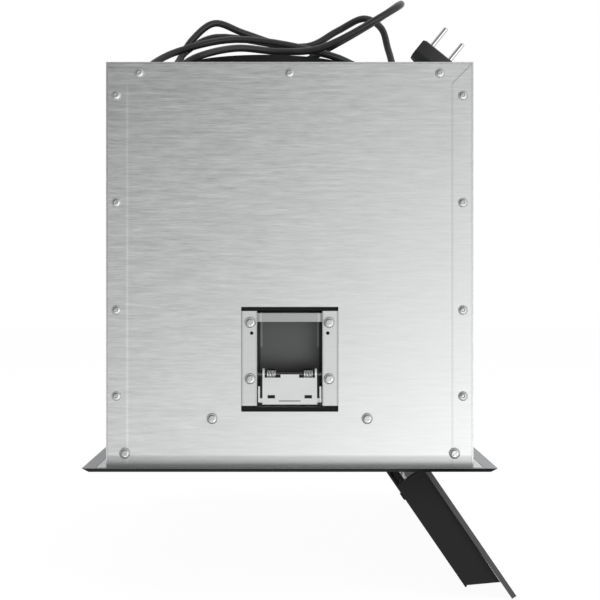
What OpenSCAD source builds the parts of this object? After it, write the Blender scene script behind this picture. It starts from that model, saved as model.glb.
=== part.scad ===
// Built-in range hood: steel box on a bevelled bottom frame, with a tilting glass flap,
// sprung cabinet clips, a centrifugal blower and a round outlet on top.
// Millimetres. +Z up, the front faces -Y, the origin is the centre of the box in the plane
// of the bottom frame's top face, which seats against the cabinet.

/* [Casing] */
// Width over the two end panels
box_w = 496; // [480:1:560]
// Depth from front panel to rear panel
box_d = 266.4; // [264:0.2:280]
// Height of the casing above the bottom frame
box_h = 293; // [290:1:320]
// Thickness of the casing sheet
sheet_t = 1; // [0.8:0.05:1.1]
// Width of the folded seams behind the end panels
seam_w = 15.5; // [14:0.5:17]

/* [Bottom frame] */
// Overhang of the frame at the front and at the rear
frame_over_d = 15.8; // [14:0.2:30]
// Overhang of the frame at each end
frame_over_w = 12; // [9:0.5:30]
// Thickness of the frame
frame_t = 3.2; // [3:0.1:5]
// Inward run of the bevel under the frame's edge
bevel_in = 4.3; // [1:0.1:8]
// Width of the steel lip that shows round the box
lip_w = 6.5; // [4:0.5:8]
// Depth of the control strip in front of the intake
strip_d = 27.2; // [26:0.1:29]
// Width of the ledge between the intake and each end panel
ledge_w = 11; // [10:0.5:12]

/* [Flap] */
// Angle between the closed flap and the open one
flap_open = 124.45; // [60:0.05:125]
// Height of the hinge axis above the glass's outer face
pivot_h = 13; // [12:0.5:14]
// Distance from the hinge axis to the free edge of the glass
flap_reach = 138.6; // [130:0.1:150]
// Thickness of the glass
glass_t = 3.8; // [3:0.1:4]
// Height of the flap's housing at its rim
housing_h = 21.8; // [18:0.2:23]

/* [Clip windows] */
// Width of the window in each end panel
window_w = 70.4; // [66:0.2:74]
// Height of the window
window_h = 76; // [72:0.5:80]
// Height of the window's lower edge
window_z = 39.4; // [38:0.2:44]
// Depth of the clip bracket's recess
recess_d = 32; // [28:1:36]
// Outward tilt of the clip latch at rest
latch_tilt = 12; // [6:1:16]

/* [Outlet] */
// Outer radius of the outlet spigot
spigot_r = 75; // [74:0.5:80]
// Height of the spigot above the top panel
spigot_h = 34; // [30:1:40]
// Distance of the outlet behind the centre of the box
outlet_y = 22; // [18:1:26]

/* [Blower] */
// Radius of the blower housing
scroll_r = 86; // [84:0.5:88]
// Half the width of the blower housing
scroll_half = 60; // [56:1:64]
// Outer radius of the impeller
impeller_r = 66; // [60:0.5:68]
// Number of impeller blades
blade_count = 30; // [20:1:36]
// Radius of the motor
motor_r = 36; // [30:0.5:38]

/* [Filters] */
// Depth of a grease filter, front to rear
filter_d = 116; // [100:1:118]
// Thickness of a grease filter
filter_t = 9; // [8:0.5:9]
// Width of the frame round the filter mesh
filter_rim = 8; // [7:0.5:12]
// Height of the tray that carries the filters
tray_z = 42; // [41.8:0.1:43]

/* [Controls] */
// Number of push buttons
button_count = 5; // [5:1:5]
// Distance between button centres
button_pitch = 24; // [22:0.5:26]
// Width of a button cap
button_w = 16; // [12:0.5:17]
// Depth of a button cap
button_d = 10; // [8:0.5:11]

/* [Fasteners] */
// Radius of the rivet heads
rivet_head_r = 3.55; // [3:0.05:4]
// Radius of the screw heads
screw_head_r = 4; // [3.5:0.1:4.4]
// Radius of the screw shanks
screw_r = 1.95; // [1.7:0.05:2.1]

/* [Mains cord] */
// Radius of the mains cord
cord_r = 3.1; // [2.6:0.1:3.3]
// Distance between the plug's two pins
pin_pitch = 19; // [18:0.5:20]

/* [Hidden] */
$fn = 48;

// Small values shared by the whole hood
over = 1;
seat_gap = 0.2;
hole_gap = 0.1;
pin_gap = 0.05;
press_gap = 0.02;

// Casing planes
half_w = box_w / 2;
half_d = box_d / 2;
inner_w = half_w - sheet_t;
inner_d = half_d - sheet_t;
lip_drop = 0.3;
lip_t = 0.8;
wall_z = -lip_drop;
roof_z = box_h - sheet_t;

// Rivets and screws of the end panels, placed from the edges or as shares of the height
rivet_r = 2;
rivet_in = 7.6;
rivet_top_in = 8.1;
rivet_top_y = 109;
rivet_row_shares = [0.173, 0.386, 0.652, 0.917];
rivet_base_h = 0.5;
rivet_dome_h = 0.9;
rivet_dome_r = 2.3;
rivet_dimple_r = 1.1;
rivet_bulb_r = 2.7;
rivet_bulb_h = 2.2;
corner_screw_in = 13.7;
corner_screw_z = 9.25;
tray_screw_y = 56.2;
tray_screw_z = 34.4;
screw_head_h = 2.4;
screw_cross_w = 0.9;
screw_cross_d = 1.3;
screw_tail = 3;

// Bottom frame and base pan
frame_w = box_w + 2 * frame_over_w;
frame_d = box_d + 2 * frame_over_d;
frame_edge = 0.2;
lip_out_w = half_w + lip_w;
lip_out_d = half_d + lip_w;
intake_front = -(half_d - strip_d);
intake_half = half_w - ledge_w;
pan_wall_h = 15.5;
button_cap_drop = 1.2;

// Flap, drawn closed and then turned about its hinge axis
flap_front_in = 3;
flap_front_reach = 25.6;
flap_gap = 2;
pivot_y = intake_front + flap_front_in + flap_front_reach;
pivot_z = pivot_h - frame_t;
glass_front = pivot_y - flap_front_reach;
glass_rear = pivot_y + flap_reach;
flap_rear_gap = 1.8;
intake_rear = glass_rear + flap_rear_gap;
flap_half = intake_half - flap_gap;
glass_top = glass_t - frame_t;
housing_in = 3;
housing_half = flap_half - housing_in;
housing_wall = 2;
housing_set = 22.7;
housing_front = pivot_y + housing_set;
housing_rear_in = 14.3;
housing_rear = glass_rear - housing_rear_in;
housing_slope = 12.2;
housing_z = glass_top + seat_gap;
housing_top = housing_z + housing_h;
cover_t = 1.6;
cover_reach = 12;
cover_front = housing_front - cover_reach;
cover_rear_over = 0.8;
cover_rear = housing_rear - housing_slope + cover_rear_over;
cover_bump_r = 3;
cover_bump_h = 1.2;
cover_bump_shares = [0.4, 0.92];
arm_t = 2.5;
arm_r = 6.5;
arm_x = housing_half - housing_wall - arm_t;
arm_tail = 34.7;
hinge_pin_r = 2.5;
hinge_head_r = 4;
hinge_head_h = 1.8;
bush_r = 5;
bracket_t = 2;
bracket_off = 1;
bracket_x = intake_half + bracket_off;
bracket_front = 12.6;
bracket_rear = 15.4;
bracket_h = 22;
bracket_foot = 4.8;
lens_inset = 42;
lens_half = housing_half - lens_inset;
lens_front = 67.4;
lens_d = 24;
lens_gap = 0.3;
lens_rim = 2;
lens_rim_t = 1.5;
board_t = 1.2;
board_drop = 5.4;
led_count = 12;
led_w = 3.5;
led_h = 1.2;
rib_t = 2;
rib_shares = [-0.5, 0, 0.5];

// Filter tray, filters and their catches
tray_half = inner_w;
tray_notch_y = 46;
tray_notch_gap = 5;
tray_notch_x = half_w - recess_d - tray_notch_gap;
tray_skirt = 12;
tray_flange = 16;
tray_end_gap = 2;
tray_end_y = inner_d - seam_w - tray_end_gap;
tray_sill = 2;
tray_edge_gap = 1.2;
filter_set = 32.4;
filter_front = pivot_y + filter_set;
filter_rear = filter_front + filter_d;
filter_x0 = 6;
filter_side_in = 7;
filter_x1 = intake_half - filter_side_in;
filter_top = tray_z - seat_gap;
filter_low = filter_top - filter_t;
filter_hinge_out = 4;
filter_hinge_y = filter_rear + filter_hinge_out;
filter_hinge_drop = 4.3;
filter_hinge_z = filter_top - filter_hinge_drop;
eyelet_r = 3.6;
eyelet_w = 4;
eyelet_in = 18;
filter_pin_r = 1.5;
lug_t = 1.5;
skirt_gap = 2;
mesh_t = 1;
mesh_hole_w = 15;
mesh_hole_d = 5;
mesh_pitch_x = 18;
mesh_pitch_y = 8;
mesh_border = 5;
mesh_in = 1.4;
groove_d = 2;
catch_half = 22;
catch_d = 24;
catch_wall = 1.6;
catch_nose_half = 6;
catch_nose_t = 2;
catch_gap = 0.3;
catch_body_d = 16;
catch_side_gap = 1;
catch_low = 0.8;
catch_head_gap = 0.4;
catch_nose_low = 2.4;
catch_grip_half = 14;
catch_grip_in = 4;
catch_grip_d = 8;
catch_grip_h = 3;

// Clip bracket, latch, pin and springs, drawn for the right-hand end
backplate_t = 1.5;
backplate_over = 8;
bracket_flange = 10.3;
bracket_sheet = 1;
clip_half = window_w / 2 - seat_gap;
clip_inner = clip_half - bracket_flange;
clip_foot = 4.3;
clip_head = 3;
clip_z0 = window_z + clip_foot;
clip_z1 = window_z + window_h - clip_head;
clip_screw_in = 6.4;
clip_screw_up = 19.5;
clip_screw_down = 8.4;
clip_screw_y = clip_half - clip_screw_in;
clip_screw_low = clip_z0 + clip_screw_up;
clip_screw_high = clip_z1 - clip_screw_down;
clip_pin_r = 2;
clip_pin_in = 7;
clip_pin_up = 22.7;
clip_pin_z = clip_z0 + clip_pin_up;
latch_side_gap = 4.9;
latch_half = clip_inner - latch_side_gap;
latch_t = 1.5;
latch_out = 2.5;
latch_top = 3.4;
latch_low = 22.9;
latch_arm_low = 17.9;
latch_tab_h = 2.4;
latch_back = 1.6;
latch_slot_low = 4.4;
latch_slit_half = 7.9;
latch_slit_low = 2.2;
latch_slit_h = 0.7;
latch_lug_r = 4.2;
latch_slot_y = 13.4;
latch_slot_w = 5.4;
latch_slot_h = 2.5;
latch_tab_half = 6.7;
hook_w = 1.3;
hook_gap = 1.8;
hook_h = 11.6;
hook_out = 4;
hook_low = 1.5;
hook_t = 3;
clip_pin_over = 0.8;
bridge_drop = 7.9;
bridge_h = 6.3;
bridge_in = 3;
oval_r = 1.3;
oval_in = 1;
oval_step = 7.6;
backplate_low = 1.6;
backplate_sill = 1.2;
spring_r = 3.4;
spring_wire_r = 0.55;
spring_turns = 4;
spring_pitch = 1.6;
spring_y = 13.5;

// Outlet collar and blower
collar_plate_t = 3;
collar_over = 12;
collar_corner_r = 10;
spigot_wall = 2.5;
collar_screw_in = 9;
scroll_drop = 147;
scroll_wall = 1.2;
neck_d = 72;
scroll_y = outlet_y + neck_d / 2 - scroll_r;
scroll_z = box_h - scroll_drop;
neck_rear = scroll_y + scroll_r;
neck_front = neck_rear - neck_d;
neck_y = (neck_front + neck_rear) / 2;
neck_flange_over = 7;
neck_flange_w = spigot_r + neck_flange_over;
neck_flange_in = 1;
neck_flange_d = spigot_r - neck_flange_in;
neck_flange_t = 1.6;
neck_screw_out = 1;
neck_screw_y = 50;
inlet_r = 54;
blade_t = 0.9;
blade_d = 12;
ring_t = 1.5;
ring_out = 1;
disc_in = 4;
impeller_gap = 9;
blade_lean = 28;
hub_r = 10;
hub_l = 8;
shaft_r = 4;
shaft_l = 58;
motor_front = 14;
motor_l = 62;
motor_boss = 4;
motor_slots = 6;
motor_slot_w = 4;
motor_slot_d = 3;
motor_rim = 5;
mount_ring = 4;
mount_l = 10;
mount_t = 3;
mount_arm_w = 12;
mount_screw_r = 70;
mount_arms = 3;
damper_drop = 9;
damper_pin_r = 1.5;
damper_t = 1.2;
damper_gap = 1.8;
knuckle_r = 3.2;
knuckle_l = 26;
knuckle_gap = 2;
knuckle_set = 1;
damper_root_gap = 0.3;
capacitor_r = 17;
capacitor_l = 62;
capacitor_x = -150;
capacitor_set = 20;
capacitor_y = -intake_front - capacitor_set;
capacitor_stud = 8;
box_wall = 2;
control_x0 = 84;
control_gap = 11;
control_x1 = tray_notch_x - control_gap;
control_d = 80;
control_h = 36;
control_in = 10;
control_y0 = -half_d + control_in;
vent_slots = 6;
vent_in = 8;
vent_pitch = 10;
vent_w = 4;
pcb_t = 1.6;
pcb_gap = 1;
pcb_lift = 5;
post_r = 3;
post_in = 6;
choke = [28, 22, 20];
choke_in = 12;
relay = [18, 14, 16];
relay_in = [8, 10];
relay_pitch = 18;
can_r = 5;
can_h = 14;
can_at = [16, 46];
can_pitch = 14;

// Controls
button_room = 7;
housing_w = button_count * button_pitch + button_room;
button_set = 5.4;
housing_y0 = -half_d + button_set;
button_rear_gap = 4;
housing_y1 = intake_front - button_rear_gap;
button_wall = 1.5;
button_board_gap = 0.5;
button_flange_t = 1.4;
button_y = (housing_y0 + housing_y1) / 2;
button_housing_h = 15;
button_flange = 1.2;
button_stem_r = 1.5;
button_stem_h = 7.5;
switch_z = 6;
switch_h = 4;
switch_w = 6;
switch_roof = 0.6;

// Mains cord: gland, hand-chosen route and plug
gland = [128, 82];
gland_r = 8;
gland_nut_r = 12;
gland_nut_h = 6;
gland_h = 28;
gland_share = 0.8;
gland_lip = 1.4;
cord_sides = 8;
cord_steps = 3;
plug_half_x = 11;
plug_half_y = 16.2;
plug_mid_y = 0.9;
// Depth behind the plug's face, and how far the body is drawn in there along X and along Y
plug_sections = [[0, 1.2, 2.3], [1.5, 0, 0], [11, 0, 0], [15.35, 3, 0], [17, 5, 5.5]];
plug_lean = 38.97;
plug_pin_turn = 20;
plug_at = [-150, -119.5, 314.6];
plug_reach = 43.5;
plug_neck_r = 6;
plug_neck_end_r = 4.4;
plug_rib_count = 6;
plug_rib_x = 17;
plug_rib_t = 2;
plug_rib_pitch = 4.4;
plug_rib_step = 0.1;
plug_root = 3;
plug_mid = 7.5;
pin_r = 2;
pin_l = 19;
pin_tip = 1;
pin_tip_in = 0.6;
pin_root = 7.5;
route = [
    [128, 82, 321], [128, 82, 332], [119, 89, 345], [92, 107, 345], [36, 126, 328],
    [-14, 126, 326], [-50, 97, 334], [-52, 46, 344], [-54, -38, 329], [-38, -70, 316],
    [-8, -68, 324], [0, -38, 338], [-10, 8, 346], [-18, 42, 356], [-20, 67, 364], [-24, 86, 349],
    [-32, 98, 328], [-56, 101, 316], [-77, 78, 325], [-66, 46, 334], [-61, 8, 332],
    [-72, -26, 333], [-72, -90, 367], [-46, -95, 375], [-29, -72, 362], [-24, -36, 342],
    [6, -4, 331], [56, 72, 331], [47, 98, 332], [28, 102, 339], [14, 87, 350], [10, 67, 357],
    [6, -16, 348], [8, -43, 362], [0, -67, 372], [-12, -82, 361], [-18, -88, 340], [-36, -95, 314],
    [-70, -110, 307], [-94, -114.8, 308.8], [-106.5, -114.8, 308.8]
];

// Colours
steel = [0.72, 0.72, 0.72];
bright = [0.85, 0.85, 0.84];
black = [0.07, 0.07, 0.08];
dark = [0.2, 0.2, 0.21];
grey = [0.45, 0.45, 0.46];
green = [0.1, 0.32, 0.18];
white = [0.9, 0.9, 0.88];

// A box between two corners
module span(a, b) { translate(a) cube(b - a); }

// Round bars that start at a point and run along one axis
module rod_x(p, r, l) { translate(p) rotate([0, 90, 0]) cylinder(r = r, h = l); }
module rod_y(p, r, l) { translate(p) rotate([-90, 0, 0]) cylinder(r = r, h = l); }
module rod_z(p, r, l) { translate(p) cylinder(r = r, h = l); }

// The same piece for the other end of the hood
module at_left() { mirror([1, 0, 0]) children(); }

// Both ends, both sides front and rear
module both_ends() { for (side = [0, 1]) mirror([side, 0, 0]) children(); }

// An outline in Y and Z, pushed along X from x0 to x1
module slab_x(x0, x1) {
    translate([x0, 0, 0]) rotate([90, 0, 90]) linear_extrude(x1 - x0) children();
}

// Places [y, z] of the fasteners in an end panel
function rivet_spots() = concat(
    [for (y = [-rivet_top_y, 0, rivet_top_y]) [y, box_h - rivet_top_in]],
    [for (y = [-1, 1], s = rivet_row_shares) [y * (half_d - rivet_in), s * box_h]]);
function corner_spots() = [for (y = [-1, 1]) [y * (half_d - corner_screw_in), corner_screw_z]];
function tray_spots() = [for (y = [-1, 1]) [y * tray_screw_y, tray_screw_z]];
function clip_spots() = [for (y = [-1, 1], z = [clip_screw_low, clip_screw_high])
    [y * clip_screw_y, z]];

// Holes through a layer of sheet at an end, from x0 outwards
module end_holes(spots, r, x0, l) {
    for (p = spots) rod_x([x0 - over, p[0], p[1]], r, l + 2 * over);
}

// End panel of the right-hand end
module end_panel() {
    edge = inner_d - seat_gap;
    difference() {
        span([inner_w, -edge, wall_z], [half_w, edge, roof_z - seat_gap]);
        span([inner_w - over, -window_w / 2, window_z],
            [half_w + over, window_w / 2, window_z + window_h]);
        end_holes(rivet_spots(), rivet_r + hole_gap, inner_w, sheet_t);
        end_holes(concat(corner_spots(), tray_spots()), screw_r + hole_gap, inner_w, sheet_t);
    }
}

module side_panel_left() { color(steel) at_left() end_panel(); }
module side_panel_right() { color(steel) end_panel(); }

// Front panel, with the folded seams that the end panels are riveted to
module wall_panel() {
    difference() {
        union() {
            span([-half_w, -half_d, wall_z], [half_w, -inner_d, roof_z]);
            both_ends() span([inner_w - sheet_t, -inner_d, wall_z],
                [inner_w, -inner_d + seam_w, roof_z]);
        }
        both_ends() {
            end_holes(rivet_spots(), rivet_r + hole_gap, inner_w - sheet_t, sheet_t);
            end_holes(corner_spots(), screw_r + hole_gap, inner_w - sheet_t, sheet_t);
        }
    }
}

module front_panel() { color(steel) wall_panel(); }
module rear_panel() { color(steel) mirror([0, 1, 0]) wall_panel(); }

function collar_half_w() = spigot_r + collar_over;
function collar_spots() = [for (x = [-1, 1], y = [-1, 1])
    [x * (collar_half_w() - collar_screw_in), outlet_y + y * (collar_half_w() - collar_screw_in)]];
function neck_spots() = [for (x = [-1, 1], y = [-1, 1])
    [x * (spigot_r + neck_screw_out), outlet_y + y * neck_screw_y]];

// Top panel: a shallow tray with its flanges down
module top_panel() {
    seam_y = inner_d - seam_w - seat_gap;
    color(steel) difference() {
        union() {
            span([-half_w, -half_d, roof_z], [half_w, half_d, box_h]);
            both_ends() span([inner_w - sheet_t, -seam_y, roof_z - seam_w], [inner_w, seam_y, roof_z]);
            for (side = [0, 1]) mirror([0, side, 0])
                span([-inner_w + sheet_t + seat_gap, inner_d - sheet_t, roof_z - seam_w],
                    [inner_w - sheet_t - seat_gap, inner_d, roof_z]);
        }
        both_ends() end_holes(rivet_spots(), rivet_r + hole_gap, inner_w - sheet_t, sheet_t);
        rod_z([0, outlet_y, roof_z - over], spigot_r - spigot_wall, sheet_t + 2 * over);
        rod_z([gland[0], gland[1], roof_z - over], gland_r + hole_gap, sheet_t + 2 * over);
        for (p = concat(collar_spots(), neck_spots()))
            rod_z([p[0], p[1], roof_z - over], screw_r + hole_gap, sheet_t + 2 * over);
    }
}

// Openings through the frame and the pan: the intake and the control housing
module intake_cut(z0, z1) {
    span([-intake_half, intake_front, z0], [intake_half, intake_rear, z1]);
}

// Base pan: lip round the box, floor ledges and upright flanges inside the walls
module base_pan() {
    color(bright) difference() {
        union() {
            span([-lip_out_w, -lip_out_d, wall_z - lip_t], [lip_out_w, lip_out_d, wall_z]);
            for (side = [0, 1]) mirror([0, side, 0])
                span([-inner_w + 3 * sheet_t, inner_d - sheet_t, wall_z],
                    [inner_w - 3 * sheet_t, inner_d, pan_wall_h]);
            both_ends() span([inner_w - 2 * sheet_t, -inner_d + sheet_t + seat_gap, wall_z],
                [inner_w - sheet_t, inner_d - sheet_t - seat_gap, pan_wall_h]);
        }
        intake_cut(wall_z - lip_t - over, wall_z + over);
        span([-housing_w / 2 - seat_gap, housing_y0 - seat_gap, wall_z - lip_t - over],
            [housing_w / 2 + seat_gap, housing_y1 + seat_gap, wall_z + over]);
        both_ends() end_holes(corner_spots(), screw_r + hole_gap, inner_w - 2 * sheet_t, sheet_t);
    }
}

// Section of the bevelled frame, half its breadth from the middle
module bevel_outline(half) {
    polygon([[-half, 0], [half, 0], [half, -frame_edge], [half - bevel_in, -frame_t],
        [bevel_in - half, -frame_t], [-half, -frame_edge]]);
}

function button_x(i) = (i - (button_count - 1) / 2) * button_pitch;

// Bottom frame with its bevel, the rebate for the lip, the intake and the button holes
module bottom_frame() {
    color(black) difference() {
        intersection() {
            slab_x(-frame_w / 2, frame_w / 2) bevel_outline(frame_d / 2);
            translate([0, frame_d / 2, 0]) rotate([90, 0, 0]) linear_extrude(frame_d)
                bevel_outline(frame_w / 2);
        }
        span([-lip_out_w - hole_gap, -lip_out_d - hole_gap, wall_z - lip_t],
            [lip_out_w + hole_gap, lip_out_d + hole_gap, over]);
        intake_cut(-frame_t - over, over);
        for (i = [0 : button_count - 1])
            span([button_x(i) - button_w / 2 - lens_gap, button_y - button_d / 2 - lens_gap,
                -frame_t - over], [button_x(i) + button_w / 2 + lens_gap,
                button_y + button_d / 2 + lens_gap, over]);
    }
}

// Blind rivet along +X, its head's seat at the origin
module rivet() {
    grip = 2 * sheet_t;
    difference() {
        union() {
            rod_x([0, 0, 0], rivet_head_r, rivet_base_h);
            translate([rivet_base_h, 0, 0]) rotate([0, 90, 0])
                cylinder(r1 = rivet_head_r, r2 = rivet_dome_r, h = rivet_dome_h);
            rod_x([-grip - rivet_bulb_h, 0, 0], rivet_r, grip + rivet_bulb_h + rivet_base_h);
            rod_x([-grip - rivet_bulb_h, 0, 0], rivet_bulb_r, rivet_bulb_h);
        }
        rod_x([rivet_base_h, 0, 0], rivet_dimple_r, rivet_dome_h + over);
    }
}

// Pan-head screw along +X, its head's seat at the origin and a cross in the head
module screw(grip, tail = screw_tail) {
    difference() {
        union() {
            rod_x([0, 0, 0], screw_head_r, screw_head_h / 2);
            translate([screw_head_h / 2, 0, 0]) rotate([0, 90, 0])
                cylinder(r1 = screw_head_r, r2 = screw_head_r - screw_head_h / 2, h = screw_head_h / 2);
            rod_x([-grip - tail, 0, 0], screw_r, grip + tail + screw_head_h / 2);
        }
        for (turn = [0, 90]) rotate([turn, 0, 0])
            span([screw_head_h - screw_cross_d, -screw_head_r / 2, -screw_cross_w / 2],
                [screw_head_h + over, screw_head_r / 2, screw_cross_w / 2]);
    }
}

module blind_rivets() {
    color(bright) both_ends() for (p = rivet_spots()) translate([half_w, p[0], p[1]]) rivet();
}

module panel_screws() {
    color(bright) {
        both_ends() {
            for (p = corner_spots()) translate([half_w, p[0], p[1]]) screw(3 * sheet_t);
            for (p = tray_spots()) translate([half_w, p[0], p[1]]) screw(2 * sheet_t);
        }
        for (p = collar_spots())
            translate([p[0], p[1], box_h + collar_plate_t]) rotate([0, -90, 0])
                screw(collar_plate_t + sheet_t);
    }
}

// Black support plate behind each window
module clip_backplates() {
    outer = window_w / 2 + backplate_over;
    color(dark) both_ends() difference() {
        span([inner_w - backplate_t, -outer, window_z - backplate_over + backplate_low],
            [inner_w, outer, window_z + window_h + backplate_over]);
        span([inner_w - backplate_t - over, -clip_inner - seat_gap, clip_z0 - backplate_sill],
            [inner_w + over, clip_inner + seat_gap, clip_z1 + seat_gap]);
        end_holes(clip_spots(), screw_r + hole_gap, inner_w - backplate_t, backplate_t);
    }
}

// Clip bracket: two flanges in the window and a recess behind them
module clip_bracket() {
    x0 = half_w - recess_d;
    bridge_z = clip_z1 - bridge_drop;
    oval_y = clip_screw_y - oval_in;
    difference() {
        union() {
            for (side = [0, 1]) mirror([0, side, 0]) {
                span([inner_w, clip_inner - bracket_sheet, clip_z0], [half_w, clip_half, clip_z1]);
                span([x0, clip_inner - bracket_sheet, clip_z0], [half_w, clip_inner, clip_z1]);
            }
            span([x0, -clip_inner, clip_z0], [x0 + bracket_sheet, clip_inner, clip_z1]);
            span([inner_w - bridge_in, -clip_inner, bridge_z],
                [inner_w - bridge_in + bracket_sheet, clip_inner, bridge_z + bridge_h]);
        }
        end_holes(clip_spots(), screw_r + hole_gap, inner_w, sheet_t);
        for (side = [-1, 1]) {
            rod_x([inner_w - over, side * oval_y, clip_screw_high - oval_step], oval_r,
                sheet_t + 2 * over);
            rod_x([inner_w + sheet_t / 2, side * oval_y, clip_screw_low + oval_step], oval_r, sheet_t);
        }
        rod_y([half_w - clip_pin_in, -clip_inner - over, clip_pin_z], clip_pin_r + press_gap,
            2 * clip_inner + 2 * over);
    }
}

module clip_bracket_left() { color(bright) at_left() clip_bracket(); }
module clip_bracket_right() { color(bright) clip_bracket(); }

// Turns the hanging latch outwards about its pin
module latch_pose() {
    translate([half_w - clip_pin_in, 0, clip_pin_z]) rotate([0, -latch_tilt, 0]) children();
}

// Clip latch, drawn hanging from its pin at the origin
module clip_latch() {
    low = latch_low;
    hook_y = latch_half + hook_gap;
    latch_pose() difference() {
        union() {
            span([latch_out, -latch_half, -low], [latch_out + latch_t, latch_half, -latch_top]);
            span([latch_out, -latch_tab_half, -latch_top - over],
                [latch_out + latch_t, latch_tab_half, -latch_top + latch_tab_h]);
            for (side = [0, 1]) mirror([0, side, 0]) {
                rod_y([0, latch_half - latch_t, 0], latch_lug_r, latch_t);
                span([-latch_back, latch_half - latch_t, -latch_arm_low],
                    [latch_out + latch_t, latch_half, 0]);
                span([latch_out, latch_half - over, -low + hook_low],
                    [latch_out + latch_t, hook_y + over, -low + hook_low + hook_t]);
                span([latch_out, hook_y, -low + hook_low],
                    [latch_out + latch_t, hook_y + hook_w, -low + hook_low + hook_h]);
                span([latch_out, hook_y, -low + hook_low],
                    [latch_out + hook_out, hook_y + hook_w, -low + hook_low + hook_t]);
            }
        }
        rod_y([0, -latch_half - over, 0], clip_pin_r + pin_gap, 2 * latch_half + 2 * over);
        for (side = [-1, 1])
            span([latch_out - over, side * latch_slot_y - latch_slot_w / 2, -low + latch_slot_low],
                [latch_out + latch_t + over, side * latch_slot_y + latch_slot_w / 2,
                -low + latch_slot_low + latch_slot_h]);
        span([latch_out - over, -latch_slit_half, -low + latch_slit_low],
            [latch_out + latch_t + over, latch_slit_half, -low + latch_slit_low + latch_slit_h]);
    }
}

module clip_latch_left() { color(bright) at_left() clip_latch(); }
module clip_latch_right() { color(bright) clip_latch(); }

// Pins that the clip latches, the grease filters and the flap turn on
module pivot_pins() {
    x0 = arm_x - seat_gap;
    color(bright) both_ends() {
        union() {
            rod_x([x0 - hinge_head_h, pivot_y, pivot_z], hinge_head_r, hinge_head_h);
            rod_x([x0 - over, pivot_y, pivot_z], hinge_pin_r, bracket_x + bracket_t - x0 + over);
        }
        rod_y([half_w - clip_pin_in, -clip_inner - clip_pin_over, clip_pin_z], clip_pin_r,
            2 * (clip_inner + clip_pin_over));
        for (x = eyelet_starts())
            rod_x([x - lug_t - 2 * seat_gap, filter_hinge_y, filter_hinge_z], filter_pin_r,
                eyelet_w + 2 * lug_t + 4 * seat_gap);
    }
}

// Ring of points of a tube round a centre, in the plane of two unit vectors
function ring_at(c, u, v, r, sides) = [for (k = [0 : sides - 1])
    c + r * cos(360 * k / sides) * u + r * sin(360 * k / sides) * v];
function unit(v) = v / norm(v);

// Faces of a tube of n rings, closed at both ends
function tube_faces(n, sides) = concat(
    [for (i = [0 : n - 2], k = [0 : sides - 1])
        [i * sides + k, i * sides + (k + 1) % sides, (i + 1) * sides + (k + 1) % sides]],
    [for (i = [0 : n - 2], k = [0 : sides - 1])
        [i * sides + k, (i + 1) * sides + (k + 1) % sides, (i + 1) * sides + k]],
    [for (k = [1 : sides - 2]) [0, k + 1, k]],
    [for (k = [1 : sides - 2]) (n - 1) * sides * [1, 1, 1] + [0, k, k + 1]]);

// Coil spring round the Y axis
module coil_spring() {
    n = spring_turns * 8 + 1;
    half = spring_turns * spring_pitch / 2;
    rings = [for (i = [0 : n - 1]) let (a = 360 * i / 8)
        ring_at([spring_r * cos(a), i * spring_pitch / 8 - half, spring_r * sin(a)],
            [cos(a), 0, sin(a)], [0, 1, 0], spring_wire_r, 6)];
    polyhedron([for (r = rings, p = r) p], tube_faces(n, 6));
}

module clip_springs() {
    color(bright) both_ends() for (side = [-1, 1])
        translate([half_w - clip_pin_in, side * spring_y, clip_pin_z]) coil_spring();
}

module clip_screws() {
    color(bright) both_ends() for (p = clip_spots())
        translate([half_w, p[0], p[1]]) screw(sheet_t + backplate_t);
}

// Outlet collar: square base with round corners and the spigot
module outlet_collar() {
    flat = collar_half_w() - collar_corner_r;
    color(black) difference() {
        union() {
            translate([0, outlet_y, box_h]) linear_extrude(collar_plate_t) union() {
                square([2 * collar_half_w(), 2 * flat], center = true);
                square([2 * flat, 2 * collar_half_w()], center = true);
                for (x = [-flat, flat], y = [-flat, flat]) translate([x, y]) circle(r = collar_corner_r);
            }
            rod_z([0, outlet_y, box_h], spigot_r, spigot_h);
        }
        rod_z([0, outlet_y, box_h - over], spigot_r - spigot_wall, spigot_h + 2 * over);
        for (p = collar_spots())
            rod_z([p[0], p[1], box_h - over], screw_r + hole_gap, collar_plate_t + 2 * over);
    }
}

damper_z = box_h - damper_drop;
knuckle_step = knuckle_l + knuckle_gap;

// One damper flap: a plate to the front of the pin, with knuckles from the given starts
module damper(starts) {
    plate_half = scroll_half - scroll_wall - damper_gap;
    root = neck_y - knuckle_r - damper_root_gap;
    difference() {
        union() {
            span([-plate_half, neck_front + scroll_wall + damper_gap, damper_z - damper_t / 2],
                [plate_half, root, damper_z + damper_t / 2]);
            for (x = starts) {
                rod_x([x, neck_y, damper_z], knuckle_r, knuckle_l);
                span([x, root - over, damper_z - damper_t / 2],
                    [x + knuckle_l, neck_y, damper_z + damper_t / 2]);
            }
        }
        rod_x([-scroll_half, neck_y, damper_z], damper_pin_r + pin_gap, 2 * scroll_half);
    }
}

module damper_front() { color(grey) damper([knuckle_set - 2 * knuckle_step, knuckle_set]); }
module damper_rear() {
    color(grey) translate([0, 2 * neck_y, 0]) mirror([0, 1, 0])
        damper([knuckle_set - knuckle_step, knuckle_set + knuckle_step]);
}
module damper_pin() {
    color(bright) rod_x([-scroll_half, neck_y, damper_z], damper_pin_r, 2 * scroll_half);
}

// Outline of the blower housing, drawn in by a wall
module scroll_outline(wall) {
    union() {
        translate([scroll_y, scroll_z]) circle(r = scroll_r - wall);
        translate([neck_front + wall, scroll_z])
            square([neck_d - 2 * wall, roof_z - seat_gap - scroll_z + wall]);
    }
}

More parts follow.
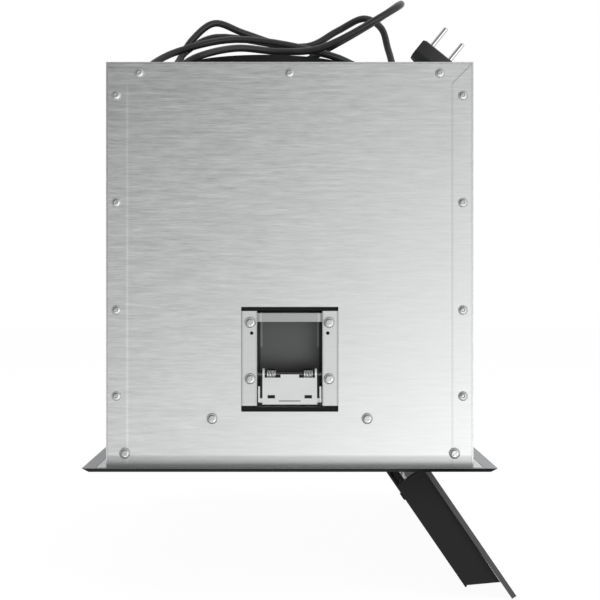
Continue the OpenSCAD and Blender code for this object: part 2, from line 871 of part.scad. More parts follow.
// Right half of the blower housing, with its inlet and its flange under the top panel
module scroll() {
    top = roof_z - seat_gap;
    difference() {
        union() {
            slab_x(0, scroll_half) scroll_outline(0);
            span([0, outlet_y - neck_flange_d, top - neck_flange_t],
                [neck_flange_w, outlet_y + neck_flange_d, top]);
        }
        slab_x(-over, scroll_half - scroll_wall) scroll_outline(scroll_wall);
        span([-over, neck_front - over, top], [scroll_half + over, neck_rear + over, top + 2 * over]);
        rod_x([0, scroll_y, scroll_z], inlet_r, scroll_half + over);
        rod_x([0, neck_y, damper_z], damper_pin_r + press_gap, scroll_half + over);
        for (p = neck_spots())
            rod_z([p[0], p[1], top - neck_flange_t - over], screw_r + hole_gap, neck_flange_t + 2 * over);
        mount_holes(scroll_half - scroll_wall, scroll_wall);
    }
}

module mount_holes(x0, l) {
    for (k = [0 : mount_arms - 1]) let (a = 90 + 360 * k / mount_arms)
        rod_x([x0 - over, scroll_y + mount_screw_r * cos(a), scroll_z + mount_screw_r * sin(a)],
            screw_r + hole_gap, l + 2 * over);
}

module scroll_left() { color(grey) at_left() scroll(); }
module scroll_right() { color(grey) scroll(); }

function impeller_reach() = scroll_half - impeller_gap;
module blade_row() {
    inner = impeller_reach() - ring_t - seat_gap;
    for (k = [0 : blade_count - 1]) rotate([360 * k / blade_count, 0, 0])
        translate([0, 0, impeller_r - blade_d / 2]) rotate([blade_lean, 0, 0])
            span([-inner, -blade_t / 2, -blade_d / 2], [inner, blade_t / 2, blade_d / 2]);
}

// Hub and middle disc of the impeller, slotted for the blades
module impeller() {
    color(dark) translate([0, scroll_y, scroll_z]) difference() {
        union() {
            rod_x([-ring_t, 0, 0], impeller_r - disc_in, 2 * ring_t);
            rod_x([-hub_l, 0, 0], hub_r, 2 * hub_l);
        }
        rod_x([-hub_l - over, 0, 0], shaft_r + press_gap, 2 * hub_l + 2 * over);
        blade_row();
    }
}

// Blades of the impeller
module impeller_blades() { color(dark) translate([0, scroll_y, scroll_z]) blade_row(); }

// Rings that the ends of the blades meet
module impeller_rings() {
    color(dark) translate([0, scroll_y, scroll_z])
        for (x = [-impeller_reach(), impeller_reach() - ring_t]) difference() {
            rod_x([x, 0, 0], impeller_r + ring_out, ring_t);
            rod_x([x - over, 0, 0], impeller_r - blade_d, ring_t + 2 * over);
        }
}

module motor_shaft() { color(bright) rod_x([-hub_l, scroll_y, scroll_z], shaft_r, shaft_l); }

// Motor can with a front boss and cooling slots in its end
module motor() {
    color(grey) translate([0, scroll_y, scroll_z]) difference() {
        union() {
            rod_x([motor_front, 0, 0], motor_r, motor_l);
            rod_x([motor_front - motor_boss, 0, 0], hub_r, motor_boss + over);
        }
        rod_x([motor_front - motor_boss - over, 0, 0], shaft_r + pin_gap, shaft_l);
        for (k = [0 : motor_slots - 1]) rotate([360 * k / motor_slots, 0, 0])
            span([motor_front + motor_l - motor_slot_d, -motor_slot_w / 2, motor_r / 2],
                [motor_front + motor_l + over, motor_slot_w / 2, motor_r - motor_rim]);
    }
}

// Three-armed mount that clamps the motor and is screwed to the blower housing
module motor_mount() {
    color(bright) translate([scroll_half, scroll_y, scroll_z]) difference() {
        union() {
            rod_x([0, 0, 0], motor_r + mount_ring, mount_l);
            for (k = [0 : mount_arms - 1]) rotate([90 + 360 * k / mount_arms, 0, 0])
                span([0, 0, -mount_arm_w / 2],
                    [mount_t, mount_screw_r + mount_arm_w / 2, mount_arm_w / 2]);
        }
        rod_x([-over, 0, 0], motor_r + press_gap, mount_l + 2 * over);
        translate([-scroll_half, -scroll_y, -scroll_z]) mount_holes(scroll_half, mount_t);
    }
}

module blower_screws() {
    top = roof_z - seat_gap;
    color(bright) {
        for (k = [0 : mount_arms - 1]) let (a = 90 + 360 * k / mount_arms)
            translate([scroll_half + mount_t, scroll_y + mount_screw_r * cos(a),
                scroll_z + mount_screw_r * sin(a)]) screw(mount_t);
        for (p = neck_spots()) translate([p[0], p[1], top - neck_flange_t]) rotate([0, 90, 0])
            screw(neck_flange_t + seat_gap + sheet_t, -seat_gap / 2);
    }
}

// Run capacitor, lying on the tray
module capacitor() {
    z = tray_z + sheet_t + capacitor_r + seat_gap;
    color(white) union() {
        rod_x([capacitor_x, capacitor_y, z], capacitor_r, capacitor_l);
        rod_x([capacitor_x - capacitor_stud, capacitor_y, z], capacitor_r / 4, capacitor_stud + over);
    }
}

// Control box, its cover and its board
control_z = tray_z + sheet_t + seat_gap;
module control_box() {
    color(dark) difference() {
        span([control_x0, control_y0, control_z],
            [control_x1, control_y0 + control_d, control_z + control_h]);
        span([control_x0 + box_wall, control_y0 + box_wall, control_z + box_wall],
            [control_x1 - box_wall, control_y0 + control_d - box_wall, control_z + control_h + over]);
    }
}
module control_cover() {
    z = control_z + control_h;
    color(grey) difference() {
        span([control_x0, control_y0, z], [control_x1, control_y0 + control_d, z + box_wall]);
        for (k = [0 : vent_slots - 1])
            translate([control_x0 + vent_in + vent_pitch * k, control_y0 + control_d / 4, z - over])
                cube([vent_w, control_d / 2, box_wall + 2 * over]);
    }
}
module control_board() {
    x0 = control_x0 + box_wall + pcb_gap;
    x1 = control_x1 - box_wall - pcb_gap;
    y0 = control_y0 + box_wall + pcb_gap;
    y1 = control_y0 + control_d - box_wall - pcb_gap;
    z = control_z + box_wall + pcb_lift;
    color(green) union() {
        span([x0, y0, z], [x1, y1, z + pcb_t]);
        for (x = [x0 + post_in, x1 - post_in], y = [y0 + post_in, y1 - post_in])
            rod_z([x, y, control_z + box_wall], post_r, pcb_lift + over);
        translate([x0 + choke_in, y0 + choke_in, z]) cube(choke);
        for (k = [0 : 2])
            translate([x1 - relay_in[0] - relay[0], y0 + relay_in[1] + relay_pitch * k, z]) cube(relay);
        for (i = [0, 1], k = [0, 1])
            rod_z([x0 + can_at[0] + can_pitch * i, y0 + can_at[1] + can_pitch * k, z], can_r, can_h);
    }
}

function filter_mid() = (filter_x0 + filter_x1) / 2;
function eyelet_starts() = [filter_x0 + eyelet_in, filter_x1 - eyelet_in - eyelet_w];

// Filter tray, with its filter openings, front skirt, side flanges and hinge lugs
module filter_tray() {
    plate_y = inner_d - tray_edge_gap;
    skirt_y = filter_front - skirt_gap;
    color(steel) difference() {
        union() {
            span([-tray_half, -plate_y, tray_z], [tray_half, plate_y, tray_z + sheet_t]);
            both_ends() span([inner_w - sheet_t, -tray_end_y, tray_z - tray_flange],
                [inner_w, tray_end_y, tray_z + sheet_t]);
            span([-filter_x1, skirt_y - sheet_t, tray_z - tray_skirt], [filter_x1, skirt_y, tray_z + over]);
            both_ends() for (x = eyelet_starts()) for (e = [x - lug_t - seat_gap, x + eyelet_w + seat_gap])
                slab_x(e, e + lug_t) union() {
                    translate([filter_hinge_y, filter_hinge_z]) circle(r = eyelet_r);
                    translate([filter_hinge_y - eyelet_r, filter_hinge_z])
                        square([2 * eyelet_r, tray_z + sheet_t / 2 - filter_hinge_z]);
                }
        }
        both_ends() {
            span([filter_x0 + filter_rim, filter_front + catch_d + tray_sill, tray_z - over],
                [filter_x1 - filter_rim, filter_rear - filter_rim, tray_z + sheet_t + over]);
            span([tray_notch_x, -tray_notch_y, tray_z - tray_flange - over],
                [half_w, tray_notch_y, tray_z + sheet_t + over]);
            for (side = [-1, 1])
                span([inner_w - sheet_t - seat_gap, side > 0 ? tray_end_y : -inner_d - over,
                    tray_z - tray_flange - over], [half_w, side > 0 ? inner_d + over : -tray_end_y,
                    tray_z + sheet_t + over]);
            end_holes(tray_spots(), screw_r + hole_gap, inner_w - sheet_t, sheet_t);
            for (x = eyelet_starts())
                rod_x([x - 2 * lug_t, filter_hinge_y, filter_hinge_z], filter_pin_r + press_gap,
                    eyelet_w + 4 * lug_t);
        }
    }
}

// Filter frame, drawn for the right-hand side: rim, catch pocket and hinge eyelets
module filter_frame() {
    mid = filter_mid();
    difference() {
        union() {
            difference() {
                span([filter_x0, filter_front, filter_low], [filter_x1, filter_rear, filter_top]);
                span([filter_x0 + filter_rim, filter_front + filter_rim, filter_low - over],
                    [filter_x1 - filter_rim, filter_rear - filter_rim, filter_top + over]);
            }
            span([mid - catch_half - catch_wall, filter_front, filter_low],
                [mid + catch_half + catch_wall, filter_front + catch_d, filter_top]);
            for (x = eyelet_starts()) slab_x(x, x + eyelet_w) union() {
                translate([filter_hinge_y, filter_hinge_z]) circle(r = eyelet_r);
                translate([filter_rear - over, filter_hinge_z - eyelet_r])
                    square([eyelet_r + over, 2 * eyelet_r]);
            }
        }
        span([mid - catch_half, filter_front + catch_wall, filter_low - over],
            [mid + catch_half, filter_front + catch_d - catch_wall, filter_top - catch_wall]);
        span([mid - catch_nose_half - seat_gap, filter_front - over,
            filter_low + catch_nose_low - seat_gap], [mid + catch_nose_half + seat_gap,
            filter_front + 2 * catch_wall, filter_low + catch_nose_low + catch_nose_t + seat_gap]);
        for (x = eyelet_starts())
            rod_x([x - over, filter_hinge_y, filter_hinge_z], filter_pin_r + pin_gap, eyelet_w + 2 * over);
        mesh_room();
    }
}

// Groove round the inside of the rim for the two mesh sheets, stopping at the catch pocket
module mesh_room() {
    mid = filter_mid();
    edge = filter_rim - groove_d;
    for (z = mesh_levels()) difference() {
        span([filter_x0 + edge, filter_front + edge, z - seat_gap / 2],
            [filter_x1 - edge, filter_rear - edge, z + mesh_t + seat_gap / 2]);
        span([mid - catch_half - catch_wall, filter_front, z - over],
            [mid + catch_half + catch_wall, filter_front + catch_d, z + mesh_t + over]);
    }
}
function mesh_levels() = [filter_low + mesh_in, filter_top - mesh_in - mesh_t];

module filter_frame_left() { color(bright) at_left() filter_frame(); }
module filter_frame_right() { color(bright) filter_frame(); }

// Two perforated sheets held in the rim's grooves, cut away round the catch pocket
module filter_mesh() {
    mid = filter_mid();
    edge = filter_rim - groove_d + seat_gap;
    x0 = filter_x0 + edge;
    x1 = filter_x1 - edge;
    y0 = filter_front + edge;
    y1 = filter_rear - edge;
    pocket = catch_half + catch_wall + seat_gap;
    columns = floor((x1 - x0 - 2 * mesh_border) / mesh_pitch_x);
    rows = floor((y1 - y0 - 2 * mesh_border) / mesh_pitch_y);
    for (z = mesh_levels()) translate([0, 0, z]) linear_extrude(mesh_t) difference() {
        translate([x0, y0]) square([x1 - x0, y1 - y0]);
        translate([mid - pocket, filter_front]) square([2 * pocket, catch_d + seat_gap]);
        for (i = [0 : columns - 1], j = [0 : rows - 1])
            let (x = x0 + mesh_border + mesh_pitch_x * i, y = y0 + mesh_border + mesh_pitch_y * j)
                if (abs(x + mesh_hole_w / 2 - mid) > pocket + mesh_hole_w
                    || y > filter_front + catch_d + mesh_hole_d)
                    translate([x, y]) square([mesh_hole_w, mesh_hole_d]);
    }
}

module filter_mesh_left() { color(bright) at_left() filter_mesh(); }
module filter_mesh_right() { color(bright) filter_mesh(); }

// Sliding catch with a finger recess; its nose stops just short of the tray's skirt
module filter_latch() {
    mid = filter_mid();
    y0 = filter_front + catch_wall + catch_gap;
    z0 = filter_low + catch_low;
    nose_z = filter_low + catch_nose_low;
    difference() {
        union() {
            span([mid - catch_half + catch_side_gap, y0, z0], [mid + catch_half - catch_side_gap,
                y0 + catch_body_d, filter_top - catch_wall - catch_head_gap]);
            span([mid - catch_nose_half, filter_front - skirt_gap + catch_gap, nose_z],
                [mid + catch_nose_half, y0 + over, nose_z + catch_nose_t]);
        }
        span([mid - catch_grip_half, y0 + catch_grip_in, z0 - over],
            [mid + catch_grip_half, y0 + catch_grip_in + catch_grip_d, z0 + catch_grip_h]);
    }
}

module filter_latch_left() { color(dark) at_left() filter_latch(); }
module filter_latch_right() { color(dark) filter_latch(); }

// Turns the closed flap to the open pose about its hinge axis
module flap_pose() {
    translate([0, pivot_y, pivot_z]) rotate([-flap_open, 0, 0]) translate([0, -pivot_y, -pivot_z])
        children();
}

module flap_glass() {
    color(black) flap_pose()
        span([-flap_half, glass_front, -frame_t], [flap_half, glass_rear, glass_top]);
}

// Outline of the flap's housing in Y and Z, drawn in by a wall
module housing_outline(wall) {
    polygon([[housing_front + wall, housing_z + wall], [housing_rear - wall, housing_z + wall],
        [housing_rear - housing_slope - wall, housing_top + wall / 2],
        [housing_front + wall, housing_top + wall / 2]]);
}

// Flap housing: a shallow tray with its open side up, slots for the hinge arms and ribs
module flap_housing() {
    color(black) flap_pose() difference() {
        union() {
            difference() {
                slab_x(-housing_half, housing_half) housing_outline(0);
                slab_x(-housing_half + housing_wall, housing_half - housing_wall)
                    housing_outline(housing_wall);
            }
            for (share = rib_shares) let (x = share * housing_half, y = pivot_y + lens_front)
                span([x - rib_t / 2, y - lens_rim, housing_z + over],
                    [x + rib_t / 2, y + lens_d + lens_rim, housing_top - board_drop - board_t]);
        }
        both_ends() span([arm_x - seat_gap, housing_front - over, pivot_z - arm_r - seat_gap],
            [arm_x + arm_t + hole_gap, housing_front + housing_wall + over, pivot_z + arm_r + seat_gap]);
    }
}

// Cover over the housing's open side, reaching forward over the hinge arms
module flap_cover() {
    y0 = pivot_y + lens_front - lens_gap;
    color(black) flap_pose() difference() {
        union() {
            span([-housing_half, cover_front, housing_top],
                [housing_half, cover_rear, housing_top + cover_t]);
            both_ends() for (share = cover_bump_shares)
                rod_z([share * housing_half, housing_front + cover_reach, housing_top + over / 2],
                    cover_bump_r, cover_t - over / 2 + cover_bump_h);
        }
        span([-lens_half - lens_gap, y0, housing_top - over],
            [lens_half + lens_gap, y0 + lens_d + 2 * lens_gap, housing_top + cover_t + over]);
    }
}

// Lamp lens with a flange that holds it under the cover
module lamp_lens() {
    y0 = pivot_y + lens_front;
    color(white) flap_pose() union() {
        span([-lens_half, y0, housing_top - over],
            [lens_half, y0 + lens_d, housing_top + cover_t + lens_gap]);
        span([-lens_half - lens_rim, y0 - lens_rim, housing_top - hole_gap - lens_rim_t],
            [lens_half + lens_rim, y0 + lens_d + lens_rim, housing_top - hole_gap]);
    }
}

// Lamp board with its row of light-emitting chips
module lamp_board() {
    y0 = pivot_y + lens_front;
    z = housing_top - board_drop - board_t + hole_gap;
    color(white) flap_pose() union() {
        span([-lens_half, y0, z], [lens_half, y0 + lens_d, z + board_t]);
        for (i = [0 : led_count - 1]) let (x = lens_half * (2 * (i + 0.5) / led_count - 1))
            span([x - led_w / 2, y0 + (lens_d - led_w) / 2, z + board_t - over / 2],
                [x + led_w / 2, y0 + (lens_d + led_w) / 2, z + board_t + led_h]);
    }
}

// Hinge arms: flat bars from the pin to the inside of the housing's ends
module hinge_arms() {
    color(bright) flap_pose() both_ends() difference() {
        slab_x(arm_x, arm_x + arm_t) union() {
            translate([pivot_y, pivot_z]) circle(r = arm_r);
            translate([pivot_y, pivot_z - arm_r]) square([arm_tail + housing_set, 2 * arm_r]);
        }
        rod_x([arm_x - over, pivot_y, pivot_z], hinge_pin_r + pin_gap, arm_t + 2 * over);
    }
}

// Hinge brackets: upright plates with feet on the pan's ledges
module hinge_brackets() {
    color(bright) both_ends() difference() {
        union() {
            span([bracket_x, pivot_y - bracket_front, wall_z],
                [bracket_x + bracket_t, pivot_y + bracket_rear, bracket_h]);
            span([bracket_x, pivot_y - bracket_front, wall_z],
                [bracket_x + bracket_t + bracket_foot, pivot_y + bracket_rear, wall_z + bracket_t / 2]);
        }
        rod_x([bracket_x - over, pivot_y, pivot_z], hinge_pin_r + press_gap, bracket_t + 2 * over);
    }
}

// Friction bushes between the arms and the brackets
module hinge_bushes() {
    x0 = arm_x + arm_t + seat_gap;
    color(dark) both_ends() difference() {
        rod_x([x0, pivot_y, pivot_z], bush_r, bracket_x - x0);
        rod_x([x0 - over, pivot_y, pivot_z], hinge_pin_r + press_gap, bracket_x - x0 + 2 * over);
    }
}

// Button housing over the row of buttons, in the pan's opening
module button_housing() {
    z0 = wall_z - lip_t;
    z1 = z0 + button_housing_h;
    wall = button_wall;
    color(dark) difference() {
        span([-housing_w / 2, housing_y0, z0], [housing_w / 2, housing_y1, z1]);
        span([-housing_w / 2 + wall, housing_y0 + wall, z0 - over],
            [housing_w / 2 - wall, housing_y1 - wall, z1 - wall]);
    }
}

// Switch board with one switch body over each button
module switch_board() {
    z = switch_z + switch_h;
    edge = button_wall + button_board_gap;
    color(green) difference() {
        union() {
            span([-housing_w / 2 + edge, housing_y0 + edge, z],
                [housing_w / 2 - edge, housing_y1 - edge, z + pcb_t]);
            for (i = [0 : button_count - 1])
                span([button_x(i) - switch_w / 2, button_y - switch_w / 2, switch_z],
                    [button_x(i) + switch_w / 2, button_y + switch_w / 2, z + over]);
        }
        for (i = [0 : button_count - 1])
            rod_z([button_x(i), button_y, switch_z - over], button_stem_r + hole_gap,
                switch_h - switch_roof + over);
    }
}

// One push button: cap through the frame, retaining flange and stem
module button(i) {
    z0 = wall_z - lip_t + hole_gap;
    color(black) translate([button_x(i), button_y, 0]) union() {
        span([-button_w / 2, -button_d / 2, -frame_t - button_cap_drop],
            [button_w / 2, button_d / 2, z0 + over]);
        span([-button_w / 2 - button_flange, -button_d / 2 - button_flange, z0],
            [button_w / 2 + button_flange, button_d / 2 + button_flange, z0 + button_flange_t]);
        rod_z([0, 0, z0 + over], button_stem_r, button_stem_h - z0 - over);
    }
}

module button_off() { button(0); }
module button_low() { button(1); }
module button_medium() { button(2); }
module button_high() { button(3); }
module button_lamp() { button(4); }

// Cord gland through the top panel
module cord_gland() {
    color(black) translate([gland[0], gland[1], 0]) union() {
        rod_z([0, 0, roof_z - gland_nut_h], gland_r, gland_nut_h + gland_h / 2);
        translate([0, 0, roof_z - gland_nut_h])
            cylinder(r = gland_nut_r, h = gland_nut_h - seat_gap, $fn = 6);
        translate([0, 0, box_h]) cylinder(r = gland_nut_r, h = gland_nut_h, $fn = 6);
        translate([0, 0, box_h + gland_nut_h])
            cylinder(r1 = gland_nut_r * gland_share, r2 = cord_r + gland_lip, h = gland_h - gland_nut_h);
    }
}

// Smooth curve through four points, with knots spaced by the square root of their distance
function knot(t, a, b) = t + sqrt(norm(b - a));
function between(a, b, t0, t1, t) = ((t1 - t) * a + (t - t0) * b) / (t1 - t0);
function curve_at(p, u) =
    let (t1 = knot(0, p[0], p[1]), t2 = knot(t1, p[1], p[2]), t3 = knot(t2, p[2], p[3]),
        t = t1 + (t2 - t1) * u,
        a1 = between(p[0], p[1], 0, t1, t), a2 = between(p[1], p[2], t1, t2, t),
        a3 = between(p[2], p[3], t2, t3, t),
        b1 = between(a1, a2, 0, t2, t), b2 = between(a2, a3, t1, t3, t))
    between(b1, b2, t1, t2, t);
last = len(route) - 1;
ends = concat([2 * route[0] - route[1]], route, [2 * route[last] - route[last - 1]]);
cord_line = concat([for (i = [1 : last], k = [0 : cord_steps - 1])
    curve_at([for (j = [-1 : 2]) ends[i + j]], k / cord_steps)], [route[last]]);
function cord_dir(i) = i == 0 ? unit(route[1] - route[0])
    : i == len(cord_line) - 1 ? unit(route[last] - route[last - 1])
    : unit(cord_line[i + 1] - cord_line[i - 1]);

// The sideways vector carried along the cord, so that its rings don't twist
function carried(u, d) = unit(u - (u * d) * d);
function carry(i, u, out) = i == len(cord_line) ? out
    : let (d = cord_dir(i), v = carried(u, d)) carry(i + 1, v, concat(out, [v]));
cord_sideways = carry(0, [1, 0, 0], []);

// Least gap between two passes of the cord, over stretches that aren't neighbours
cord_apart = 8;
cord_gap = min([for (i = [0 : len(cord_line) - 1], j = [i + cord_apart : 1 : len(cord_line) - 1])
    norm(cord_line[i] - cord_line[j])]) - 2 * cord_r;
cord_length = [for (i = 0, s = 0; i < len(cord_line) - 1; s = s + norm(cord_line[i + 1] - cord_line[i]),
    i = i + 1) s][len(cord_line) - 2];
echo(cord_length = cord_length, least_gap_of_the_cord_to_itself = cord_gap);

module mains_cord() {
    rings = [for (i = [0 : len(cord_line) - 1]) let (d = cord_dir(i), u = cord_sideways[i])
        ring_at(cord_line[i], u, cross(d, u), cord_r, cord_sides)];
    color(black) polyhedron([for (r = rings, p = r) p], tube_faces(len(rings), cord_sides));
}

// Plug frame: pins point along +Z, the cord leaves along +X
module plug_pose() { translate(plug_at) rotate([plug_lean, 0, 0]) children(); }

// Moulded block of the plug, drawn in section by section from its face to its back
module plug_block() {
    corners = [[1, 1], [-1, 1], [-1, -1], [1, -1]];
    polyhedron([for (s = plug_sections, c = corners)
        [c[0] * (plug_half_x - s[1]), plug_mid_y + c[1] * (plug_half_y - s[2]), -s[0]]],
        tube_faces(len(plug_sections), len(corners)));
}

module mains_plug() {
    color(black) plug_pose() difference() {
        union() {
            plug_block();
            translate([plug_half_x - plug_root, 0, -plug_mid]) rotate([0, 90, 0])
                cylinder(r1 = plug_neck_r, r2 = plug_neck_end_r, h = plug_reach - plug_half_x + plug_root);
            for (k = [0 : plug_rib_count - 1])
                rod_x([plug_rib_x + plug_rib_pitch * k, 0, -plug_mid],
                    plug_neck_r - plug_rib_step * k, plug_rib_t);
        }
        rotate([0, 0, plug_pin_turn]) for (side = [-1, 1])
            rod_z([0, side * pin_pitch / 2, -pin_root], pin_r + press_gap, pin_root + over);
    }
}

module plug_pins() {
    color(bright) plug_pose() rotate([0, 0, plug_pin_turn]) for (side = [-1, 1])
        translate([0, side * pin_pitch / 2, 0]) union() {
            rod_z([0, 0, -pin_root], pin_r, pin_l + pin_root - pin_tip);
            translate([0, 0, pin_l - pin_tip]) cylinder(r1 = pin_r, r2 = pin_r - pin_tip_in, h = pin_tip);
        }
}

side_panel_left();
side_panel_right();
front_panel();
rear_panel();
top_panel();
base_pan();
bottom_frame();
blind_rivets();
panel_screws();
clip_backplates();
clip_bracket_left();
clip_bracket_right();
clip_latch_left();
clip_latch_right();
pivot_pins();
clip_springs();
clip_screws();
outlet_collar();
damper_front();
damper_rear();
damper_pin();
scroll_left();
scroll_right();
impeller();
impeller_blades();
impeller_rings();
motor_shaft();
motor();
motor_mount();
blower_screws();
capacitor();
control_box();
control_cover();
control_board();
filter_tray();
filter_frame_left();
filter_frame_right();
filter_mesh_left();
filter_mesh_right();
filter_latch_left();
filter_latch_right();
flap_glass();
flap_housing();
flap_cover();
lamp_lens();
lamp_board();
hinge_arms();
hinge_brackets();
hinge_bushes();
button_housing();
switch_board();
button_off();
button_low();
button_medium();
button_high();
button_lamp();
cord_gland();
mains_cord();
mains_plug();
plug_pins();
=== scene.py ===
"""Looks of a built-in range hood, put together piece by piece round its CAD frame, in metres."""
import math

import bpy
import bmesh
from mathutils import Matrix, Vector


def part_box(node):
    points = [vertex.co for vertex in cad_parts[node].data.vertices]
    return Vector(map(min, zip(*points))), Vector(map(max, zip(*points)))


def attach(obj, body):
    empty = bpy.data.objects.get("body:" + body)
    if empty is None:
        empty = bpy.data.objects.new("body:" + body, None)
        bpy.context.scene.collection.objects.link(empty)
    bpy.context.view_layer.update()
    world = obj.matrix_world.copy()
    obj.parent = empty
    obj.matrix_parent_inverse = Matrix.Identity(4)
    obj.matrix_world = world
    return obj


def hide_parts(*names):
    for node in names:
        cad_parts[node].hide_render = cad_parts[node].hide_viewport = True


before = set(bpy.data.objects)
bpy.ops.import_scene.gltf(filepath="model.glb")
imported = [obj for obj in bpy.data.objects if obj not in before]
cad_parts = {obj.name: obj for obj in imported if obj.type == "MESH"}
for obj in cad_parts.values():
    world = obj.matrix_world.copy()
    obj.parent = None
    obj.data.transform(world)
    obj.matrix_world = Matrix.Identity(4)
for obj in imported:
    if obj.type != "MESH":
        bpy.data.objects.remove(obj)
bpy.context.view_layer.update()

# Camera
# The hood is seen square on to its left-hand end panel, from a little below the middle of
# the box. The lens and its small shift give the photograph's framing.
picture_px = 600
shift_px = (10.25, -16.0)
camera = bpy.data.objects.new("camera", bpy.data.cameras.new("camera"))
bpy.context.collection.objects.link(camera)
camera.location = (-1.248, 0.0, 0.132)
camera.rotation_euler = (math.radians(90), 0.0, math.radians(-90))
camera.data.sensor_width = 36.0
camera.data.lens = 82.76
camera.data.shift_x = shift_px[0] / picture_px
camera.data.shift_y = shift_px[1] / picture_px
bpy.context.scene.camera = camera
bpy.context.scene.view_settings.view_transform = "Standard"

# Mains cord
# Round black PVC lead, 6.2 mm thick and 1.5 m long, out of the gland on top and round the
# outlet collar in loose loops to its plug, as it is left when the hood is unpacked.
cord_d = 0.0062
steps_between_points = 8
route_mm = [
    (128, 82, 321), (128, 82, 332), (119, 89, 345), (92, 107, 345), (36, 126, 328),
    (-14, 126, 326), (-50, 97, 334), (-52, 46, 344), (-54, -38, 329), (-38, -70, 316),
    (-8, -68, 324), (0, -38, 338), (-10, 8, 346), (-18, 42, 356), (-20, 67, 364), (-24, 86, 349),
    (-32, 98, 328), (-56, 101, 316), (-77, 78, 325), (-66, 46, 334), (-61, 8, 332),
    (-72, -26, 333), (-72, -90, 367), (-46, -95, 375), (-29, -72, 362), (-24, -36, 342),
    (6, -4, 331), (56, 72, 331), (47, 98, 332), (28, 102, 339), (14, 87, 350), (10, 67, 357),
    (6, -16, 348), (8, -43, 362), (0, -67, 372), (-12, -82, 361), (-18, -88, 340), (-36, -95, 314),
    (-70, -110, 307), (-94, -114.8, 308.8), (-106.5, -114.8, 308.8),
]
route = [Vector(point) / 1000 for point in route_mm]


def smooth_line(points, steps):
    """A curve through all the points, with knots spaced by the square root of their distance."""
    ends = [2 * points[0] - points[1], *points, 2 * points[-1] - points[-2]]
    line = []
    for a, b, c, d in zip(ends, ends[1:], ends[2:], ends[3:]):
        t1 = math.sqrt((b - a).length)
        t2 = t1 + math.sqrt((c - b).length)
        t3 = t2 + math.sqrt((d - c).length)
        for k in range(steps):
            t = t1 + (t2 - t1) * k / steps
            ab = ((t1 - t) * a + t * b) / t1
            bc = ((t2 - t) * b + (t - t1) * c) / (t2 - t1)
            cd = ((t3 - t) * c + (t - t2) * d) / (t3 - t2)
            abc = ((t2 - t) * ab + t * bc) / t2
            bcd = ((t3 - t) * bc + (t - t1) * cd) / (t3 - t1)
            line.append(((t2 - t) * abc + (t - t1) * bcd) / (t2 - t1))
    return [*line, points[-1]]


cord_line = smooth_line(route, steps_between_points)
cord_length = sum((b - a).length for a, b in zip(cord_line, cord_line[1:]))
path = bpy.data.curves.new("mains_lead", "CURVE")
path.dimensions = "3D"
path.bevel_depth = cord_d / 2
path.bevel_resolution = 4
path.use_fill_caps = True
path.twist_mode = "MINIMUM"
strand = path.splines.new("POLY")
strand.points.add(len(cord_line) - 1)
for point, at in zip(strand.points, cord_line):
    point.co = (*at, 1)
lead = bpy.data.objects.new("mains_lead", path)
bpy.context.collection.objects.link(lead)


class Wire:
    """A value on its way through a node tree: sums and products of wires add Math nodes."""

    def __init__(self, net, end):
        self.net, self.end = net, end

    def math(self, operation, *others):
        return self.net.node("ShaderNodeMath", {"operation": operation}, self, *others)

    def __add__(self, other):
        return self.math("ADD", other)

    def __sub__(self, other):
        return self.math("SUBTRACT", other)

    def __mul__(self, other):
        return self.math("MULTIPLY", other)

    def __radd__(self, other):
        return self.net.node("ShaderNodeMath", {"operation": "ADD"}, other, self)

    def __rsub__(self, other):
        return self.net.node("ShaderNodeMath", {"operation": "SUBTRACT"}, other, self)

    def __rmul__(self, other):
        return self.net.node("ShaderNodeMath", {"operation": "MULTIPLY"}, other, self)

    def __abs__(self):
        return self.math("ABSOLUTE")


class Net:
    """A node tree, with one method that adds any node to it and wires it up."""

    def __init__(self, tree):
        self.tree = tree

    def node(self, kind, settings=None, *values, out=0, **named):
        made = self.tree.nodes.new(kind)
        for key, value in (settings or {}).items():
            setattr(made, key, value)
        for key, value in [*enumerate(values), *named.items()]:
            self.wire(self.socket(made.inputs, key), value)
        return None if out is None else Wire(self, self.socket(made.outputs, out))

    def socket(self, sockets, key):
        if isinstance(key, int):
            return sockets[key]
        for socket in sockets:
            if key in (socket.identifier, socket.name.replace(" ", "_")) and socket.enabled:
                return socket
        raise KeyError(f"{key} isn't one of {[s.identifier for s in sockets]}")

    def wire(self, socket, value):
        if isinstance(value, Wire):
            self.tree.links.new(value.end, socket)
        elif value is not None:
            socket.default_value = value


class Finish(Net):
    """A material built from procedural nodes in Object coordinates."""

    def __init__(self, name, **fixed):
        self.material = bpy.data.materials.new(name)
        self.material.use_nodes = True
        super().__init__(self.material.node_tree)
        self.shader = self.tree.nodes["Principled BSDF"]
        self.put(**fixed)

    def put(self, **values):
        for key, value in values.items():
            self.wire(self.socket(self.shader.inputs, key), value)

    def place(self, scale):
        """Object coordinates, on one scale or on one for each axis."""
        scale = scale if isinstance(scale, (tuple, list)) else (scale, scale, scale)
        at = self.node("ShaderNodeTexCoord", out="Object")
        return self.node("ShaderNodeMapping", None, Vector=at, Scale=scale)

    def axis(self, name):
        """A single Object coordinate."""
        at = self.node("ShaderNodeTexCoord", out="Object")
        return self.node("ShaderNodeSeparateXYZ", None, at, out=name)

    def noise(self, scale, detail=3.0, rough=0.55):
        return self.node("ShaderNodeTexNoise", None, Vector=self.place(scale), Scale=1.0,
                         Detail=detail, Roughness=rough)

    def tint(self, colour, tone):
        return self.node("ShaderNodeVectorMath", {"operation": "SCALE"}, tuple(colour), Scale=tone)

    def bump(self, height, strength, distance):
        self.put(Normal=self.node("ShaderNodeBump", None, Strength=strength, Distance=distance,
                                  Height=height))


